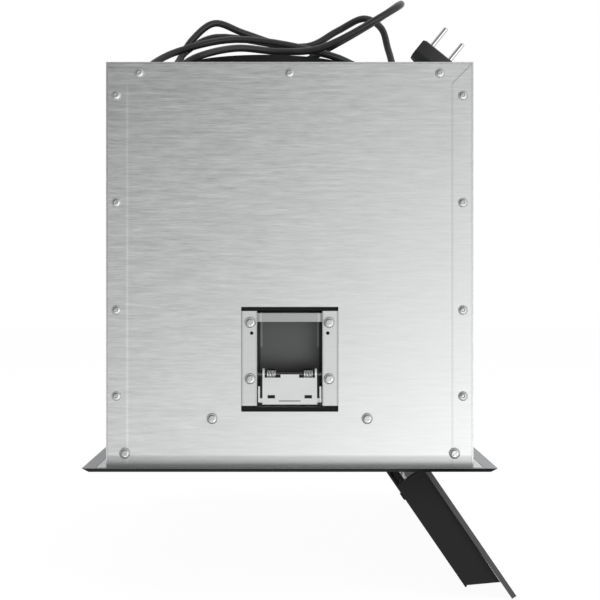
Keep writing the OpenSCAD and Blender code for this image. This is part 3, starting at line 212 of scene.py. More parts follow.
sheath = Finish("black_pvc_sheath", IOR=1.5)
grain = sheath.noise(900, 3)
marks = sheath.noise(35, 4, 0.6)
sheath.put(Base_Color=sheath.tint((0.026, 0.026, 0.0265), 0.75 + 0.5 * marks),
           Roughness=0.24 + 0.12 * marks + 0.06 * grain)
sheath.bump(grain, 0.2, 0.00006)
path.materials.append(sheath.material)
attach(lead, "casing")
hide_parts("mains_cord")

# Plug
# Angled two-pin plug moulded on the lead: a flat-sided black block with a bevelled back, a
# ribbed neck and two nickel-plated pins. It leans on the top panel by the front edge.
plug_at, plug_lean = (-0.150, -0.1195, 0.3146), 38.97
plug_half_x, plug_half_y, plug_mid_y = 0.011, 0.0162, 0.0009
plug_edge = 0.0005
# Depth behind the plug's face, and how far it is drawn in there along X and along Y
plug_sections = [(0.0, 0.0012, 0.0023), (0.0015, 0.0, 0.0), (0.011, 0.0, 0.0),
                 (0.01535, 0.003, 0.0), (0.017, 0.005, 0.0055)]
neck_depth, neck_end, neck_sides = 0.0075, 0.0435, 40
rib_count, rib_start, rib_pitch, rib_t, rib_slope = 6, 0.017, 0.0044, 0.002, 0.0004
rib_r, groove_r, rib_shrink = 0.006, 0.0048, 0.0001
plug_frame = Matrix.Translation(plug_at) @ Matrix.Rotation(math.radians(plug_lean), 4, "X")


def turned(profile, sides, axis="Z"):
    """A closed shape turned on an axis from (radius, height) pairs, first and last on the axis."""
    form = bmesh.new()
    rings = []
    for radius, height in profile:
        if radius == 0:
            rings.append([form.verts.new((0, 0, height))])
        else:
            rings.append([form.verts.new((radius * math.cos(2 * math.pi * k / sides),
                                          radius * math.sin(2 * math.pi * k / sides), height))
                          for k in range(sides)])
    for low, high in zip(rings, rings[1:]):
        for k in range(sides):
            n = (k + 1) % sides
            corners = [low[k % len(low)], low[n % len(low)]]
            corners += [high[n % len(high)], high[k % len(high)]]
            form.faces.new(list(dict.fromkeys(corners)))
    if axis == "X":
        form.transform(Matrix.Rotation(math.radians(90), 4, "Y"))
    bmesh.ops.recalc_face_normals(form, faces=form.faces)
    return form


def soft_edge(points, radius, steps=4):
    """The profile with each inner corner rounded off."""
    out = [points[0]]
    for a, b, c in zip(points, points[1:], points[2:]):
        a, b, c = Vector(a), Vector(b), Vector(c)
        reach = min(radius, (a - b).length / 2.01, (c - b).length / 2.01)
        p, q = b + (a - b).normalized() * reach, b + (c - b).normalized() * reach
        for k in range(steps + 1):
            t = k / steps
            out.append(tuple((1 - t) ** 2 * p + 2 * t * (1 - t) * b + t * t * q))
    return [*out, points[-1]]


def as_mesh(name, form, smooth=True):
    """The form as a mesh, smooth but for its sharp edges, or flat."""
    mesh = bpy.data.meshes.new(name)
    form.to_mesh(mesh)
    form.free()
    if smooth:
        mesh.shade_smooth()
        mesh.set_sharp_from_angle(angle=math.radians(35))
    else:
        mesh.shade_flat()
    return mesh


def joined(*forms):
    """Several forms as one."""
    for form in forms[1:]:
        part = bpy.data.meshes.new("part")
        form.to_mesh(part)
        form.free()
        forms[0].from_mesh(part)
        bpy.data.meshes.remove(part)
    return forms[0]


def block(sections, edge):
    """The plug's convex block through rectangles at several depths, its edges rounded over."""
    form = bmesh.new()
    for depth, in_x, in_y in sections:
        reach_x, reach_y = plug_half_x - in_x, plug_half_y - in_y
        for x, y in ((1, 1), (1, -1), (-1, -1), (-1, 1)):
            form.verts.new((x * reach_x, plug_mid_y + y * reach_y, -depth))
    bmesh.ops.convex_hull(form, input=form.verts)
    bmesh.ops.dissolve_limit(form, angle_limit=math.radians(1), verts=form.verts, edges=form.edges)
    bmesh.ops.bevel(form, geom=form.edges, offset=edge, segments=3, profile=0.5, affect="EDGES",
                    clamp_overlap=True)
    bmesh.ops.recalc_face_normals(form, faces=form.faces)
    return form


def shape(name, body, mesh, finish):
    """A finished piece of the scene's own, riding on a body."""
    piece = bpy.data.objects.new(name, mesh)
    bpy.context.collection.objects.link(piece)
    piece.data.materials.clear()
    piece.data.materials.append(finish.material)
    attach(piece, body)
    return piece


def dress(finish, *nodes):
    """Gives CAD nodes a finish."""
    for name in nodes:
        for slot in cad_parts[name].material_slots:
            slot.material = finish.material


# Profiles of the neck and of its root are (radius, distance along the lead)
neck = [(0, plug_half_x - 0.003), (0.0062, plug_half_x - 0.003)]
for k in range(rib_count):
    start, end = rib_start + rib_pitch * k, rib_start + rib_pitch * k + rib_t
    radius, thin = rib_r - rib_shrink * k, groove_r - rib_shrink * k
    neck += [(thin, start - rib_slope), (radius, start), (radius, end), (thin, end + rib_slope)]
neck += [(0.0044, neck_end - 0.0005), (0.0032, neck_end), (0, neck_end)]
root = [(0, plug_half_x - 0.004), (0.0072, plug_half_x - 0.004), (0.0064, plug_half_x + 0.0022),
        (0, plug_half_x + 0.0026)]
neck = turned(soft_edge(neck, 0.0004, 2), neck_sides, "X")
root = turned(soft_edge(root, 0.0006), neck_sides, "X")
for form in (neck, root):
    form.transform(Matrix.Translation((0, 0, -neck_depth)))
plug = joined(block(plug_sections, plug_edge), neck, root)
plug.transform(plug_frame)

moulding = Finish("black_moulded_plug")
grain = moulding.noise(1400, 3)
wear = moulding.noise(60, 4)
moulding.put(Base_Color=moulding.tint((0.02, 0.02, 0.0205), 0.8 + 0.45 * wear),
             Roughness=0.34 + 0.14 * wear + 0.05 * grain)
moulding.bump(grain, 0.35, 0.0001)
plug = shape("plug_body", "casing", as_mesh("plug_body", plug), moulding)
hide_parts("mains_plug")

nickel = Finish("nickel_plate", Metallic=1.0)
draw = nickel.noise((500, 3000, 3000), 3)
smear = nickel.noise(120, 3)
nickel.put(Base_Color=nickel.tint((0.80, 0.80, 0.80), 0.92 + 0.14 * smear),
           Roughness=0.05 + 0.06 * draw + 0.05 * smear)
nickel.bump(draw, 0.08, 0.00003)
dress(nickel, "plug_pins")

# Casing panels
# Folded box of 1 mm brushed stainless sheet, grain running round the box. The end panels lie over
# the seams of the front, rear and top, which show through as faint lines 15 mm in, mitred at the
# upper corners.
stainless = (0.66, 0.67, 0.668)
seam_y, seam_w, mitre_z = 0.1168, 0.002, 0.2775
foot_z, foot_w = 0.0065, 0.003
calm_from, calm_w = -0.36, 0.40


def brushed(name, grain, rough=0.30):
    """Brushed stainless with its grain along one axis, its tone and relief left for its maker."""
    steel = Finish(name, Metallic=1.0)
    fine = [1500, 1500, 1500]
    broad = [420, 420, 420]
    axis = "XYZ".index(grain)
    fine[axis], broad[axis] = 75, 32
    line = steel.noise(fine, 4, 0.7)
    streak = steel.noise(broad, 5, 0.65)
    cloud = steel.noise(7, 2)
    steel.tone = 0.48 + 0.50 * line + 0.50 * streak + 0.06 * cloud
    steel.grain = 0.5 * line + 0.5 * streak
    steel.put(Roughness=rough - 0.06 + 0.10 * line + 0.07 * cloud)
    return steel


def wall_steel(name, grain):
    """Plain brushed sheet."""
    steel = brushed(name, grain)
    steel.put(Base_Color=steel.tint(stainless, steel.tone))
    steel.bump(steel.grain, 0.22, 0.00006)
    return steel


def step(value, start, width):
    """From 0 below the start to 1 past it, over a width."""
    return value.net.node("ShaderNodeMapRange", {"interpolation_type": "SMOOTHSTEP"}, value, start,
                          start + width)


end_steel = brushed("brushed_end_panel", "Y")
along, height = end_steel.axis("Y"), end_steel.axis("Z")
mitre = (height - mitre_z).math("MAXIMUM", 0.0)
seam = step(abs(along) - mitre, seam_y, seam_w)
foot_step_and_shade = step(height, foot_z, foot_w)
press = seam * 0.5 + foot_step_and_shade * 0.5
# The grain shows most high at the rear and least low in front
calm = 1.75 - 1.45 * step(-1 * along - 0.9 * height, calm_from, calm_w)
end_steel.bump(end_steel.grain * 0.14 * calm + press, 0.5, 0.00022)
# Painted shade: the lowest few millimetres of the panel, below the foot line, are drawn darker
shade = (1 + (end_steel.tone - 1) * calm) * (0.76 + 0.24 * foot_step_and_shade)
end_steel.put(Base_Color=end_steel.tint(stainless, shade))
dress(end_steel, "side_panel_left", "side_panel_right")

side_steel = wall_steel("brushed_front_and_rear", "X")
dress(side_steel, "front_panel", "rear_panel")
top_steel = wall_steel("brushed_top", "X")
dress(top_steel, "top_panel")

# Base pan and bottom frame
# The pan's bright lip shows as a thin line round the foot of the box. Below it lies the bevelled
# frame of black lacquered steel, whose upper face, the cabinet's seat, is drawn as lighter metal, a
# painted sheen.
seat_z, seat_w = -0.0002, 0.0001
pan_steel = brushed("satin_pan", "X", 0.34)
pan_steel.put(Base_Color=pan_steel.tint((0.76, 0.77, 0.77), pan_steel.tone))
pan_steel.bump(pan_steel.grain, 0.15, 0.00005)
dress(pan_steel, "base_pan")

lacquer = Finish("black_lacquer", Specular_IOR_Level=0.1)
peel = lacquer.noise(260, 3)
dust = lacquer.noise(2400, 2)
# Painted sheen: the frame's upper face is made lighter and metallic
painted_sheen_top = step(lacquer.axis("Z"), seat_z, seat_w)
lacquer.put(Base_Color=lacquer.tint((0.006, 0.0061, 0.0065), 0.8 + 0.4 * peel + 54 * painted_sheen_top),
            Metallic=painted_sheen_top, Roughness=0.28 + 0.08 * peel + 0.05 * dust)
lacquer.bump(peel * 0.7 + dust * 0.3, 0.12, 0.0001)
dress(lacquer, "bottom_frame")

# Rivets, screws and pins
# Pulled aluminium rivets and zinc-plated pan-head screws hold the end panels, the clips, the tray
# and the outlet collar. One tree sets their turned heads on their places and faces them outwards.
# The pins that the latches, the filters and the flap turn on are black oxidised steel.
head_sides = 32


class Tree(Net):
    """A geometry node tree with named inputs for its sizes, run on a mesh of places."""

    def __init__(self, name, sizes):
        super().__init__(bpy.data.node_groups.new(name, "GeometryNodeTree"))
        face = self.tree.interface
        face.new_socket(name="Geometry", in_out="OUTPUT", socket_type="NodeSocketGeometry")
        face.new_socket(name="Geometry", in_out="INPUT", socket_type="NodeSocketGeometry")
        kinds = {float: "NodeSocketFloat", int: "NodeSocketInt",
                 bpy.types.Object: "NodeSocketObject"}
        for key, value in sizes.items():
            face.new_socket(name=key, in_out="INPUT", socket_type=kinds[type(value)])
        self.sizes = sizes
        self.group = self.tree.nodes.new("NodeGroupInput")
        self.geometry = self.size("Geometry")

    def size(self, name):
        return Wire(self, self.group.outputs[name])

    def aim(self):
        """The turn that points Z the way that each place faces."""
        facing = self.node("GeometryNodeInputNamedAttribute", {"data_type": "FLOAT_VECTOR"},
                           Name="facing")
        return self.node("FunctionNodeAlignRotationToVector", {"axis": "Z"}, Vector=facing,
                         out="Rotation")

    def end(self, geometry, finish):
        whole = self.node("GeometryNodeRealizeInstances", None, geometry)
        painted = self.node("GeometryNodeSetMaterial", None, whole, Material=finish.material)
        out = self.tree.nodes.new("NodeGroupOutput")
        self.tree.links.new(painted.end, out.inputs[0])

    def grow(self, name, base, finish, body, slot):
        """Runs the tree on a base mesh and keeps the result as a plain piece."""
        piece = bpy.data.objects.new(name, base)
        bpy.context.collection.objects.link(piece)
        make = piece.modifiers.new("make", "NODES")
        make.node_group = self.tree
        for item in self.tree.interface.items_tree:
            if item.in_out == "INPUT" and item.name in self.sizes:
                make[item.identifier] = self.sizes[item.name]
        bpy.context.view_layer.update()
        graph = bpy.context.evaluated_depsgraph_get()
        done = bpy.data.meshes.new_from_object(piece.evaluated_get(graph))
        piece.modifiers.remove(make)
        bpy.data.objects.remove(piece)
        done.set_sharp_from_angle(angle=math.radians(40))
        return shape(name, body, done, finish)


def places(name, spots):
    """Points with a facing direction and a turn, for heads to be set on."""
    mesh = bpy.data.meshes.new(name)
    mesh.from_pydata([at for at, _, _ in spots], [], [])
    mesh.attributes.new("facing", "FLOAT_VECTOR", "POINT")
    mesh.attributes.new("turn", "FLOAT", "POINT")
    for k, (_, way, angle) in enumerate(spots):
        mesh.attributes["facing"].data[k].vector = way
        mesh.attributes["turn"].data[k].value = angle
    return mesh


def heads(name, form, spots, finish, body, slot):
    """One head form on every spot."""
    head = bpy.data.objects.new(name + "_form", as_mesh(name + "_form", form))
    bpy.context.collection.objects.link(head)
    tree = Tree(name, {"Head": head, "Size": 1.0})
    source = tree.node("GeometryNodeObjectInfo", None, Object=tree.size("Head"), out="Geometry")
    turn = tree.node("GeometryNodeInputNamedAttribute", {"data_type": "FLOAT"}, Name="turn")
    spin = tree.node("FunctionNodeAxisAngleToRotation", None, Axis=(0, 0, 1), Angle=turn,
                     out="Rotation")
    both = tree.node("FunctionNodeRotateRotation", {"rotation_space": "LOCAL"},
                     Rotation=tree.aim(), Rotate_By=spin)
    points = tree.node("GeometryNodeMeshToPoints", None, tree.geometry)
    set_out = tree.node("GeometryNodeInstanceOnPoints", None, Points=points, Instance=source,
                        Rotation=both, Scale=tree.size("Size"))
    tree.end(set_out, finish)
    piece = tree.grow(name, places(name + "_places", spots), finish, body, slot)
    bpy.data.objects.remove(head)
    return piece


def rivet_form():
    """Domed head with the hollow of its pulled stem, the shank and the bulb behind the seam."""
    head = [(0, 0.00055), (0.0009, 0.0005), (0.00115, 0.0007), (0.0012, 0.0013), (0.0015, 0.00148),
            (0.0021, 0.00138), (0.0027, 0.00112), (0.0032, 0.0007), (0.00352, 0.00025),
            (0.00355, 0.00002)]
    shank = [(0.002, 0), (0.002, -0.002)]
    bulb = [(0.0026, -0.0024), (0.0027, -0.0034), (0.0022, -0.0041), (0.0012, -0.0042),
            (0, -0.0042)]
    return turned(head + shank + bulb, head_sides)


def screw_form():
    """Pan head on a plain shank, 5 mm long."""
    edge = soft_edge([(0.0016, 0.0024), (0.0027, 0.00235), (0.004, 0.0012), (0.004, 0.0)], 0.0009)
    shank = [(0.00195, 0), (0.00195, -0.0038), (0.0009, -0.005), (0, -0.005)]
    return turned([(0, 0.0024), *edge, *shank], head_sides)


def with_cross(form):
    """The same head with its cross recess cut."""
    blank = bpy.data.objects.new("blank", as_mesh("blank", form, False))
    bpy.context.collection.objects.link(blank)
    tool = bmesh.new()
    slot_size, slot_z = (0.0044, 0.0009, 0.0026), 0.0026
    slot = Matrix.Translation((0, 0, slot_z)) @ Matrix.Diagonal((*slot_size, 1))
    for turn in (0, 90):
        turned_slot = Matrix.Rotation(math.radians(turn), 4, "Z") @ slot
        bmesh.ops.create_cube(tool, size=1, matrix=turned_slot)
    cutter = bpy.data.objects.new("cutter", as_mesh("cutter", tool, False))
    bpy.context.collection.objects.link(cutter)
    cut = blank.modifiers.new("cut", "BOOLEAN")
    cut.operation, cut.object, cut.solver = "DIFFERENCE", cutter, "EXACT"
    cut.use_self = True
    bpy.context.view_layer.update()
    graph = bpy.context.evaluated_depsgraph_get()
    mesh = bpy.data.meshes.new_from_object(blank.evaluated_get(graph))
    result = bmesh.new()
    result.from_mesh(mesh)
    for spare in (blank, cutter):
        bpy.data.objects.remove(spare)
    return result


# Places on the end panels are (Y, Z), and the collar's four are (X, Y)
half_w, half_d, box_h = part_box("top_panel")[1]
low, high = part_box("outlet_collar")
rivet_y, rivet_in, rivet_down = 0.109, 0.0076, 0.0081
rivet_shares = (0.173, 0.386, 0.652, 0.917)
corner_in, corner_z = 0.0137, 0.00925
tray_y, tray_z = 0.0562, 0.0344
clip_y, clip_zs = 0.0286, (0.0632, 0.1040)
outlet_y, outlet_in, flange_t = (low.y + high.y) / 2, 0.009, 0.003
rivets_top = [(y * rivet_y, box_h - rivet_down) for y in (-1, 0, 1)]
rivets_side = [(y * (half_d - rivet_in), share * box_h) for y in (-1, 1) for share in rivet_shares]
corner_places = [(y * (half_d - corner_in), corner_z) for y in (-1, 1)]
tray_places = [(y * tray_y, tray_z) for y in (-1, 1)]
clip_places = [(y * clip_y, z) for y in (-1, 1) for z in clip_zs]
collar_places = [(x * (high.x - outlet_in), outlet_y + y * (high.x - outlet_in))
                 for x in (-1, 1) for y in (-1, 1)]


def both_ends(spots):
    """The same places on both end panels, facing outwards, each head turned by another angle."""
    return [((side * half_w, y, z), (side, 0, 0), 0.7 + 1.9 * k) for side in (-1, 1)
            for k, (y, z) in enumerate(spots)]


zinc = Finish("zinc_plate", Metallic=1.0)
plate = zinc.noise(700, 4)
patina = zinc.noise(90, 3)
zinc.put(Base_Color=zinc.tint((0.62, 0.63, 0.63), 0.86 + 0.2 * patina),
         Roughness=0.1 + 0.1 * patina + 0.05 * plate)
zinc.bump(plate, 0.2, 0.00006)

dull_alu = Finish("rivet_aluminium", Metallic=1.0)
rub = dull_alu.noise(500, 3)
dull_alu.put(Base_Color=dull_alu.tint((0.67, 0.68, 0.68), 0.86 + 0.2 * rub),
             Roughness=0.28 + 0.1 * rub)
dull_alu.bump(rub, 0.15, 0.00005)
rivets = heads("pulled_rivets", rivet_form(), both_ends(rivets_top + rivets_side), dull_alu,
               "casing", "fastener_steel")
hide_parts("blind_rivets")
sides = both_ends(corner_places + tray_places)
tops = [((x, y, box_h + flange_t), (0, 0, 1), 0.4 + x * 9) for x, y in collar_places]
screws = heads("panel_screw_heads", with_cross(screw_form()), sides + tops, zinc, "casing",
               "fastener_steel")
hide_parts("panel_screws")
screws = heads("clip_screw_heads", with_cross(screw_form()), both_ends(clip_places), zinc, "casing",
               "fastener_steel")
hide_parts("clip_screws")

oxide = Finish("black_oxide_pins", Metallic=1.0)
rub = oxide.noise(400, 3)
oxide.put(Base_Color=oxide.tint((0.10, 0.10, 0.105), 0.8 + 0.5 * rub),
          Roughness=0.3 + 0.15 * rub)
oxide.bump(rub, 0.15, 0.00005)
dress(oxide, "pivot_pins")

# Cabinet clips
# In each end panel's window a pressed bracket holds a latch on a pin with two coil springs, to
# grip the cabinet's side when the hood is pushed up. The bracket is dull galvanised sheet with
# painted shade in its recess, on its rolled edges and in its groove, a painted shadow under the
# top of the window and a painted highlight on its rib; the latch is bright satin steel, and the
# backing plate matt black.
matt_black = Finish("matt_black_plate", Specular_IOR_Level=0.2)
grit = matt_black.noise(900, 3)
matt_black.put(Base_Color=matt_black.tint((0.007, 0.007, 0.0075), 0.7 + 0.6 * grit),
               Roughness=0.55 + 0.2 * grit)
matt_black.bump(grit, 0.2, 0.0001)
dress(matt_black, "clip_backplates")

# Where the bracket's painted shade, shadow and highlight start, and over what width they grow:
# behind the panel's face, to both sides of the middle, and upwards
recess_x, well_x = (0.0026, 0.0012), (0.006, 0.02)
rim_in_y, rim_out_y = (0.0236, 0.0016), (0.0332, 0.0018)
rib_y, groove_y = (0.0201, 0.0005), (0.0217, 0.0004)
rib_z, shadow_z = (0.084, 0.002), (0.1108, 0.0006)
bracket_steel = Finish("galvanised_bracket", Metallic=1.0)
depth = half_w - abs(bracket_steel.axis("X"))
across, height = abs(bracket_steel.axis("Y")), bracket_steel.axis("Z")
# Painted shade: darker behind the panel's face, and darker still deep in the well
recess_shade, well_shade = step(depth, *recess_x), step(depth, *well_x)
rolled_edge_shade = step(across, *rim_out_y) + 1 - step(across, *rim_in_y)
shadow = recess_shade * step(height, *shadow_z)
groove_shade = recess_shade * step(across, *groove_y)
rib_bump_and_highlight = recess_shade * step(across, *rib_y) * step(height, *rib_z) - groove_shade
# Painted shade in the recess, the well, on the rolled edges and in the groove, a painted shadow
# under the window's top, and a painted highlight on the rib
tone = (1 - 0.56 * recess_shade) * (1 - 0.6 * well_shade) * (1 - 0.3 * (1 - recess_shade) * rolled_edge_shade)
tone = tone * (1 - 0.93 * shadow) * (1 + 0.9 * rib_bump_and_highlight.math("MAXIMUM", 0.0)) * (1 - 0.6 * groove_shade)
roll = bracket_steel.noise((900, 12, 900), 4)
haze = bracket_steel.noise(60, 4)
tone = tone * (0.9 + 0.1 * roll + 0.06 * haze)
bracket_steel.put(Base_Color=bracket_steel.tint((0.64, 0.65, 0.65), tone),
                  Roughness=0.34 + 0.1 * haze + 0.05 * roll)
bracket_steel.bump(roll, 0.12, 0.00005)
dress(bracket_steel, "clip_bracket_left", "clip_bracket_right")

satin = Finish("satin_pressed_sheet", Metallic=0.6)
roll = satin.noise((1200, 30, 1200), 3)
haze = satin.noise(50, 4)
satin.put(Base_Color=satin.tint((0.86, 0.87, 0.87), 0.92 + 0.08 * roll + 0.08 * haze),
          Roughness=0.42 + 0.1 * haze + 0.05 * roll)
satin.bump(roll, 0.1, 0.00005)
dress(satin, "clip_latch_left", "clip_latch_right")

spring_x, spring_y, spring_z = half_w - 0.007, 0.0135, 0.0664
spring_tree = Tree("latch_springs", {"Coil radius": 0.0034, "Wire radius": 0.00055, "Turns": 6.0,
                                     "Length": 0.0064})
coil_r = spring_tree.size("Coil radius")
coil = spring_tree.node("GeometryNodeCurveSpiral", None, Resolution=20, Start_Radius=coil_r,
                        End_Radius=coil_r, Rotations=spring_tree.size("Turns"),
                        Height=spring_tree.size("Length"))
wire = spring_tree.node("GeometryNodeCurvePrimitiveCircle", {"mode": "RADIUS"}, Resolution=8,
                        Radius=spring_tree.size("Wire radius"))
coil = spring_tree.node("GeometryNodeCurveToMesh", None, coil, wire, Fill_Caps=True)
middle = spring_tree.node("ShaderNodeCombineXYZ", None, Z=spring_tree.size("Length") * -0.5)
coil = spring_tree.node("GeometryNodeSetPosition", None, Geometry=coil, Offset=middle)
spots = spring_tree.node("GeometryNodeMeshToPoints", None, spring_tree.geometry)
coils = spring_tree.node("GeometryNodeInstanceOnPoints", None, Points=spots, Instance=coil,
                         Rotation=spring_tree.aim())
spring_tree.end(coils, zinc)
spring_spots = [((x * spring_x, y * spring_y, spring_z), (0, 1, 0), 0.0)
                for x in (-1, 1) for y in (-1, 1)]
springs = spring_tree.grow("latch_springs", places("spring_places", spring_spots), zinc, "casing",
                           "fastener_steel")
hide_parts("clip_springs")

# Outlet collar and gland
# Black moulded collar for a 150 mm duct, screwed to the top panel, with two grey flaps on a steel
# spindle inside, and beside it the nylon gland that grips the mains lead.
abs_black = Finish("black_moulding", Specular_IOR_Level=0.2)
spark = abs_black.noise(1100, 3)
flow = abs_black.noise(24, 3)
abs_black.put(Base_Color=abs_black.tint((0.011, 0.011, 0.0115), 0.8 + 0.4 * flow),
              Roughness=0.44 + 0.1 * flow + 0.08 * spark)
abs_black.bump(spark, 0.3, 0.00012)
dress(abs_black, "outlet_collar", "cord_gland")

abs_grey = Finish("grey_moulding")
spark = abs_grey.noise(900, 3)
flow = abs_grey.noise(18, 3)
abs_grey.put(Base_Color=abs_grey.tint((0.17, 0.172, 0.176), 0.85 + 0.3 * flow),
             Roughness=0.46 + 0.1 * flow + 0.06 * spark)
abs_grey.bump(spark, 0.3, 0.00012)
dress(abs_grey, "damper_front", "damper_rear")
dress(zinc, "damper_pin")

# Blower
# Double-inlet centrifugal blower: a grey housing in two halves, a dark fan wheel on the motor's
# shaft, and a cast motor can in a three-armed mount. A white run capacitor lies beside it.
dress(abs_grey, "scroll_left", "scroll_right")
dress(pan_steel, "motor_mount")
dress(zinc, "blower_screws", "motor_shaft")

fan_black = Finish("fan_moulding")
flow = fan_black.noise(40, 3)
fan_black.put(Base_Color=fan_black.tint((0.05, 0.05, 0.053), 0.8 + 0.4 * flow),
              Roughness=0.44 + 0.14 * flow)
fan_black.bump(fan_black.noise(800, 2), 0.2, 0.0001)
dress(fan_black, "impeller", "impeller_blades", "impeller_rings")

can = Finish("cast_motor_can", Metallic=0.55)
cast = can.noise(420, 5, 0.65)
tone = can.noise(60, 3)
can.put(Base_Color=can.tint((0.30, 0.305, 0.31), 0.8 + 0.35 * tone), Roughness=0.45 + 0.15 * cast)
can.bump(cast, 0.5, 0.0003)
dress(can, "motor")

shell = Finish("white_capacitor_shell")
fleck = shell.noise(300, 3)
shell.put(Base_Color=shell.tint((0.72, 0.72, 0.69), 0.92 + 0.12 * fleck),
          Roughness=0.38 + 0.1 * fleck)
shell.bump(fleck, 0.1, 0.0001)
dress(shell, "capacitor")

# Controls
# Green boards, one in the black control box under its grey cover and one over the row of push
# buttons, whose black caps stand a little below the frame.
dress(abs_black, "control_box", "button_housing")
dress(abs_grey, "control_cover")

board = Finish("green_solder_mask", Coat_Weight=0.3)
cells = board.node("ShaderNodeTexVoronoi", {"feature": "DISTANCE_TO_EDGE"},
                   Vector=board.place(330), out="Distance")
tracks = cells.math("LESS_THAN", 0.07)
tone = board.noise(80, 3)
colour = board.node("ShaderNodeMix", {"data_type": "RGBA"}, Factor_Float=tracks,
                    A_Color=(0.012, 0.11, 0.035, 1), B_Color=(0.03, 0.2, 0.07, 1),
                    out="Result_Color")
board.put(Base_Color=colour, Roughness=0.3 + 0.15 * tone)
board.bump(tracks, 0.3, 0.0001)
dress(board, "control_board", "switch_board")

cap = Finish("gloss_button")
touch = cap.noise(150, 4)
cap.put(Base_Color=cap.tint((0.014, 0.014, 0.0145), 0.8 + 0.4 * touch),
        Roughness=0.16 + 0.16 * touch)
cap.bump(cap.noise(900, 2), 0.08, 0.00008)
dress(cap, "button_off", "button_low", "button_medium", "button_high", "button_lamp")

# Filter tray and grease filters
# Stainless tray over the intake, and two washable filters with aluminium rims and two layers of
# perforated sheet, each with a sliding catch at its front edge.
tray_steel = wall_steel("brushed_tray", "X")
dress(tray_steel, "filter_tray")
alu = Finish("filter_rim_aluminium", Metallic=1.0)
roll = alu.noise((30, 900, 900), 4)
film = alu.noise(30, 4)
alu.put(Base_Color=alu.tint((0.76, 0.76, 0.755), 0.84 + 0.12 * roll + 0.12 * film),
        Roughness=0.3 + 0.12 * film + 0.06 * roll)
alu.bump(roll, 0.15, 0.00006)
dress(alu, "filter_frame_left", "filter_frame_right")

catch = Finish("grey_catch_moulding")
spark = catch.noise(1000, 3)
catch.put(Base_Color=catch.tint((0.06, 0.06, 0.062), 0.85 + 0.3 * spark),
          Roughness=0.4 + 0.15 * spark)
catch.bump(spark, 0.25, 0.0001)
dress(catch, "filter_latch_left", "filter_latch_right")

sheet_t, sheet_in, sheet_lift, join_within = 0.0006, 0.002, 0.0002, 0.00001
low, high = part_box("filter_mesh_left")
sheet_tree = Tree("perforated_sheet", {"Width": high.x - low.x - 2 * sheet_in,
                                       "Depth": high.y - low.y - 2 * sheet_in,
                                       "Columns": 36, "Rows": 18, "Hole share": 0.66,
                                       "Thickness": sheet_t})
grid = sheet_tree.node("GeometryNodeMeshGrid", None, Size_X=sheet_tree.size("Width"),
                       Size_Y=sheet_tree.size("Depth"), Vertices_X=sheet_tree.size("Columns"),
                       Vertices_Y=sheet_tree.size("Rows"))
grid = sheet_tree.node("GeometryNodeTriangulate", None, grid)
cells = sheet_tree.node("GeometryNodeDualMesh", None, grid, False)
pushed = sheet_tree.node("GeometryNodeExtrudeMesh", {"mode": "FACES"}, Mesh=cells,
                         Offset_Scale=0.0, Individual=True)
inner = Wire(sheet_tree, pushed.end.node.outputs["Top"])
shrunk = sheet_tree.node("GeometryNodeScaleElements", {"domain": "FACE"}, Geometry=pushed,
                         Selection=inner, Scale=sheet_tree.size("Hole share"))
holed = sheet_tree.node("GeometryNodeDeleteGeometry", {"domain": "FACE"}, Geometry=shrunk,
                        Selection=inner)
holed = sheet_tree.node("GeometryNodeMergeByDistance", None, Geometry=holed, Distance=join_within)
thick = sheet_tree.node("GeometryNodeExtrudeMesh", {"mode": "FACES"}, Mesh=holed, Individual=False,
                        Offset_Scale=sheet_tree.size("Thickness"))
under = sheet_tree.node("GeometryNodeFlipFaces", None, holed)
whole = sheet_tree.node("GeometryNodeJoinGeometry", None, thick)
sheet_tree.tree.links.new(under.end, whole.end.node.inputs[0])
whole = sheet_tree.node("GeometryNodeMergeByDistance", None, Geometry=whole,
                        Distance=join_within / 10)
spots = sheet_tree.node("GeometryNodeMeshToPoints", None, sheet_tree.geometry)
sheets = sheet_tree.node("GeometryNodeInstanceOnPoints", None, Points=spots, Instance=whole)
sheet_tree.end(sheets, alu)
for name in ("left", "right"):
    low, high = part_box("filter_mesh_" + name)
    heights = low.z + sheet_lift, high.z - sheet_lift - sheet_t
    layers = [(((low.x + high.x) / 2, (low.y + high.y) / 2, z), (0, 0, 1), 0.0) for z in heights]
    mesh = sheet_tree.grow("filter_sheet_" + name, places("layers_" + name, layers), alu,
                           "filter_" + name, "filter_aluminium")
    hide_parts("filter_mesh_" + name)

# Tilting flap
# Sheet of black glass with ground ends and a black moulded housing behind it, which holds a row of
# lamps under a frosted lens. Two dark steel arms, worn bright in streaks, carry it on pins with
# plastic bushes in brackets under the pan.
ground_in, ground_w = 0.0008, 0.0004
glass = Finish("black_glass")
film = glass.noise(22, 4)
ground = step(abs(glass.axis("X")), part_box("flap_glass")[1].x - ground_in, ground_w)
glass.put(Base_Color=glass.tint((0.008, 0.008, 0.009), 0.8 + 0.4 * film + 5 * ground),
          Roughness=0.06 + 0.07 * film + 0.35 * ground, Coat_Weight=0.6 - 0.6 * ground)
glass.bump(glass.noise(8, 2), 0.05, 0.0004)
dress(glass, "flap_glass")
dress(abs_black, "flap_housing", "flap_cover", "hinge_bushes")
dress(pan_steel, "hinge_brackets")

arm_steel = Finish("dark_hinge_steel", Metallic=1.0)
streak = arm_steel.noise((260, 260, 60), 3, 0.7)
worn = step(streak, 0.5, 0.12)
arm_steel.put(Base_Color=arm_steel.tint((0.08, 0.08, 0.082), 0.8 + 5 * worn),
              Roughness=0.3 + 0.15 * streak)
arm_steel.bump(streak, 0.2, 0.0001)
dress(arm_steel, "hinge_arms")

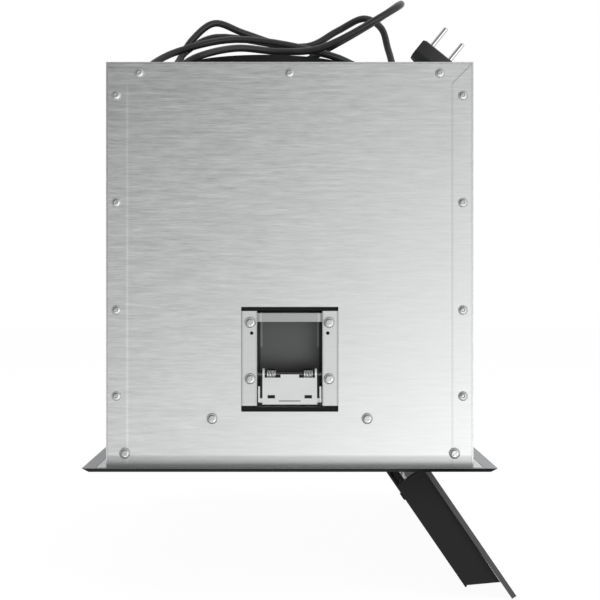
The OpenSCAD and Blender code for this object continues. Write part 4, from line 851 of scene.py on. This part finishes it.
frost = Finish("frosted_lens")
rib_bump_and_highlight = frost.noise((2, 900, 900), 2)
cloud = frost.noise(60, 3)
frost.put(Base_Color=frost.tint((0.78, 0.78, 0.75), 0.9 + 0.12 * cloud),
          Roughness=0.3 + 0.15 * cloud)
frost.bump(rib_bump_and_highlight, 0.3, 0.0002)
dress(frost, "lamp_lens")

chips = Finish("white_lamp_board")
tone = chips.noise(200, 3)
chips.put(Base_Color=chips.tint((0.75, 0.75, 0.72), 0.85 + 0.2 * tone),
          Roughness=0.45 + 0.1 * tone)
chips.bump(tone, 0.1, 0.0001)
dress(chips, "lamp_board")

# Room
# Pale floor just under the open flap, and plain soft studio light. The camera sees the floor and
# the room white. The end panel sees a room that is paler low in front and dimmer high at the
# rear, and the other sides see a nearly even one.
floor_z, floor_half = -0.1, 6.0
floor_glow, glow_share = 1.03, 0.93
plane = bmesh.new()
bmesh.ops.create_grid(plane, x_segments=1, y_segments=1, size=floor_half)
plane.transform(Matrix.Translation((0, 0, floor_z)))
floor = bpy.data.objects.new("floor", as_mesh("floor", plane, False))
bpy.context.collection.objects.link(floor)
stock = bpy.data.materials.new("pale_floor")
stock.use_nodes = True
stock.node_tree.nodes.clear()
paper = Net(stock.node_tree)
matt = paper.node("ShaderNodeBsdfDiffuse", None, Color=(0.8, 0.8, 0.8, 1))
glow = paper.node("ShaderNodeEmission", None, Color=(1, 1, 1, 1), Strength=floor_glow)
clear = paper.node("ShaderNodeBsdfTransparent")
seen = paper.node("ShaderNodeLightPath", out="Is_Camera_Ray")
mirrored = Wire(paper, seen.end.node.outputs["Is Glossy Ray"])
ground = paper.node("ShaderNodeMixShader", None, mirrored, matt, clear)
whole = paper.node("ShaderNodeMixShader", None, seen * glow_share, ground, glow)
paper.node("ShaderNodeOutputMaterial", None, whole, out=None)
floor.data.materials.append(stock)

# To the left, metal and glass see a level that falls to the rear and upwards, between two limits.
# Well away from straight ahead its upper limit is lower, and to the right the even room begins.
rear_fall, up_fall, straight_level = 2.65, 3.0, 0.75
dimmest, brightest = 0.1, 3.4
aside_from, aside_w, aside_level = 0.14, 0.22, 0.95
left_ends, even_low, even_high = (-0.7, -0.3), 0.58, 0.82
matt_level = 0.55
world = bpy.data.worlds.new("studio")
world.use_nodes = True
world.cycles.sampling_method = "NONE"
world.node_tree.nodes.clear()
bpy.context.scene.world = world
sky = Net(world.node_tree)
way = sky.node("ShaderNodeTexCoord", out="Generated")
right = sky.node("ShaderNodeSeparateXYZ", None, way, out="X")
rear = sky.node("ShaderNodeSeparateXYZ", None, way, out="Y")
up = sky.node("ShaderNodeSeparateXYZ", None, way, out="Z")
slant = (-rear_fall * rear - up_fall * up).math("EXPONENT") * straight_level
slant = slant.math("MAXIMUM", dimmest).math("MINIMUM", brightest)
aside = step(rear * rear + up * up, aside_from, aside_w)
band = slant - aside * (slant - aside_level).math("MAXIMUM", 0.0)
elsewhere = sky.node("ShaderNodeMapRange", None, right, *left_ends, 0.0, 1.0)
even = (0.7 + 0.25 * up - 1.2 * rear).math("MAXIMUM", even_low).math("MINIMUM", even_high)
tone = band + elsewhere * (even - band)
rays = sky.tree.nodes.new("ShaderNodeLightPath").outputs
seen, through = Wire(sky, rays["Is Camera Ray"]), Wire(sky, rays["Is Transmission Ray"])
white = seen.math("MAXIMUM", through)
glossy = Wire(sky, rays["Is Glossy Ray"])
level = glossy * tone + (1 - glossy) * matt_level
level = level + white * (1.0 - level)
light = sky.node("ShaderNodeBackground", None, Color=(1, 1, 1, 1), Strength=level)
sky.node("ShaderNodeOutputWorld", None, light, out=None)


def lamp(name, place, target, size, power):
    """A soft square lamp."""
    made = bpy.data.objects.new(name, bpy.data.lights.new(name, "AREA"))
    made.data.energy, made.data.size = power, size
    made.location = place
    made.rotation_euler = (Vector(target) - Vector(place)).to_track_quat("-Z", "Y").to_euler()
    made.visible_camera = made.visible_glossy = False
    bpy.context.collection.objects.link(made)


lamp("key", (-1.6, -1.2, 1.4), target=(0, 0, 0.1), size=1.2, power=22)
lamp("fill", (-1.4, 1.6, 0.6), target=(0, 0, 0.1), size=1.6, power=8)
lamp("top", (0.2, 0.2, 2.2), target=(0, 0, 0.2), size=1.6, power=14)
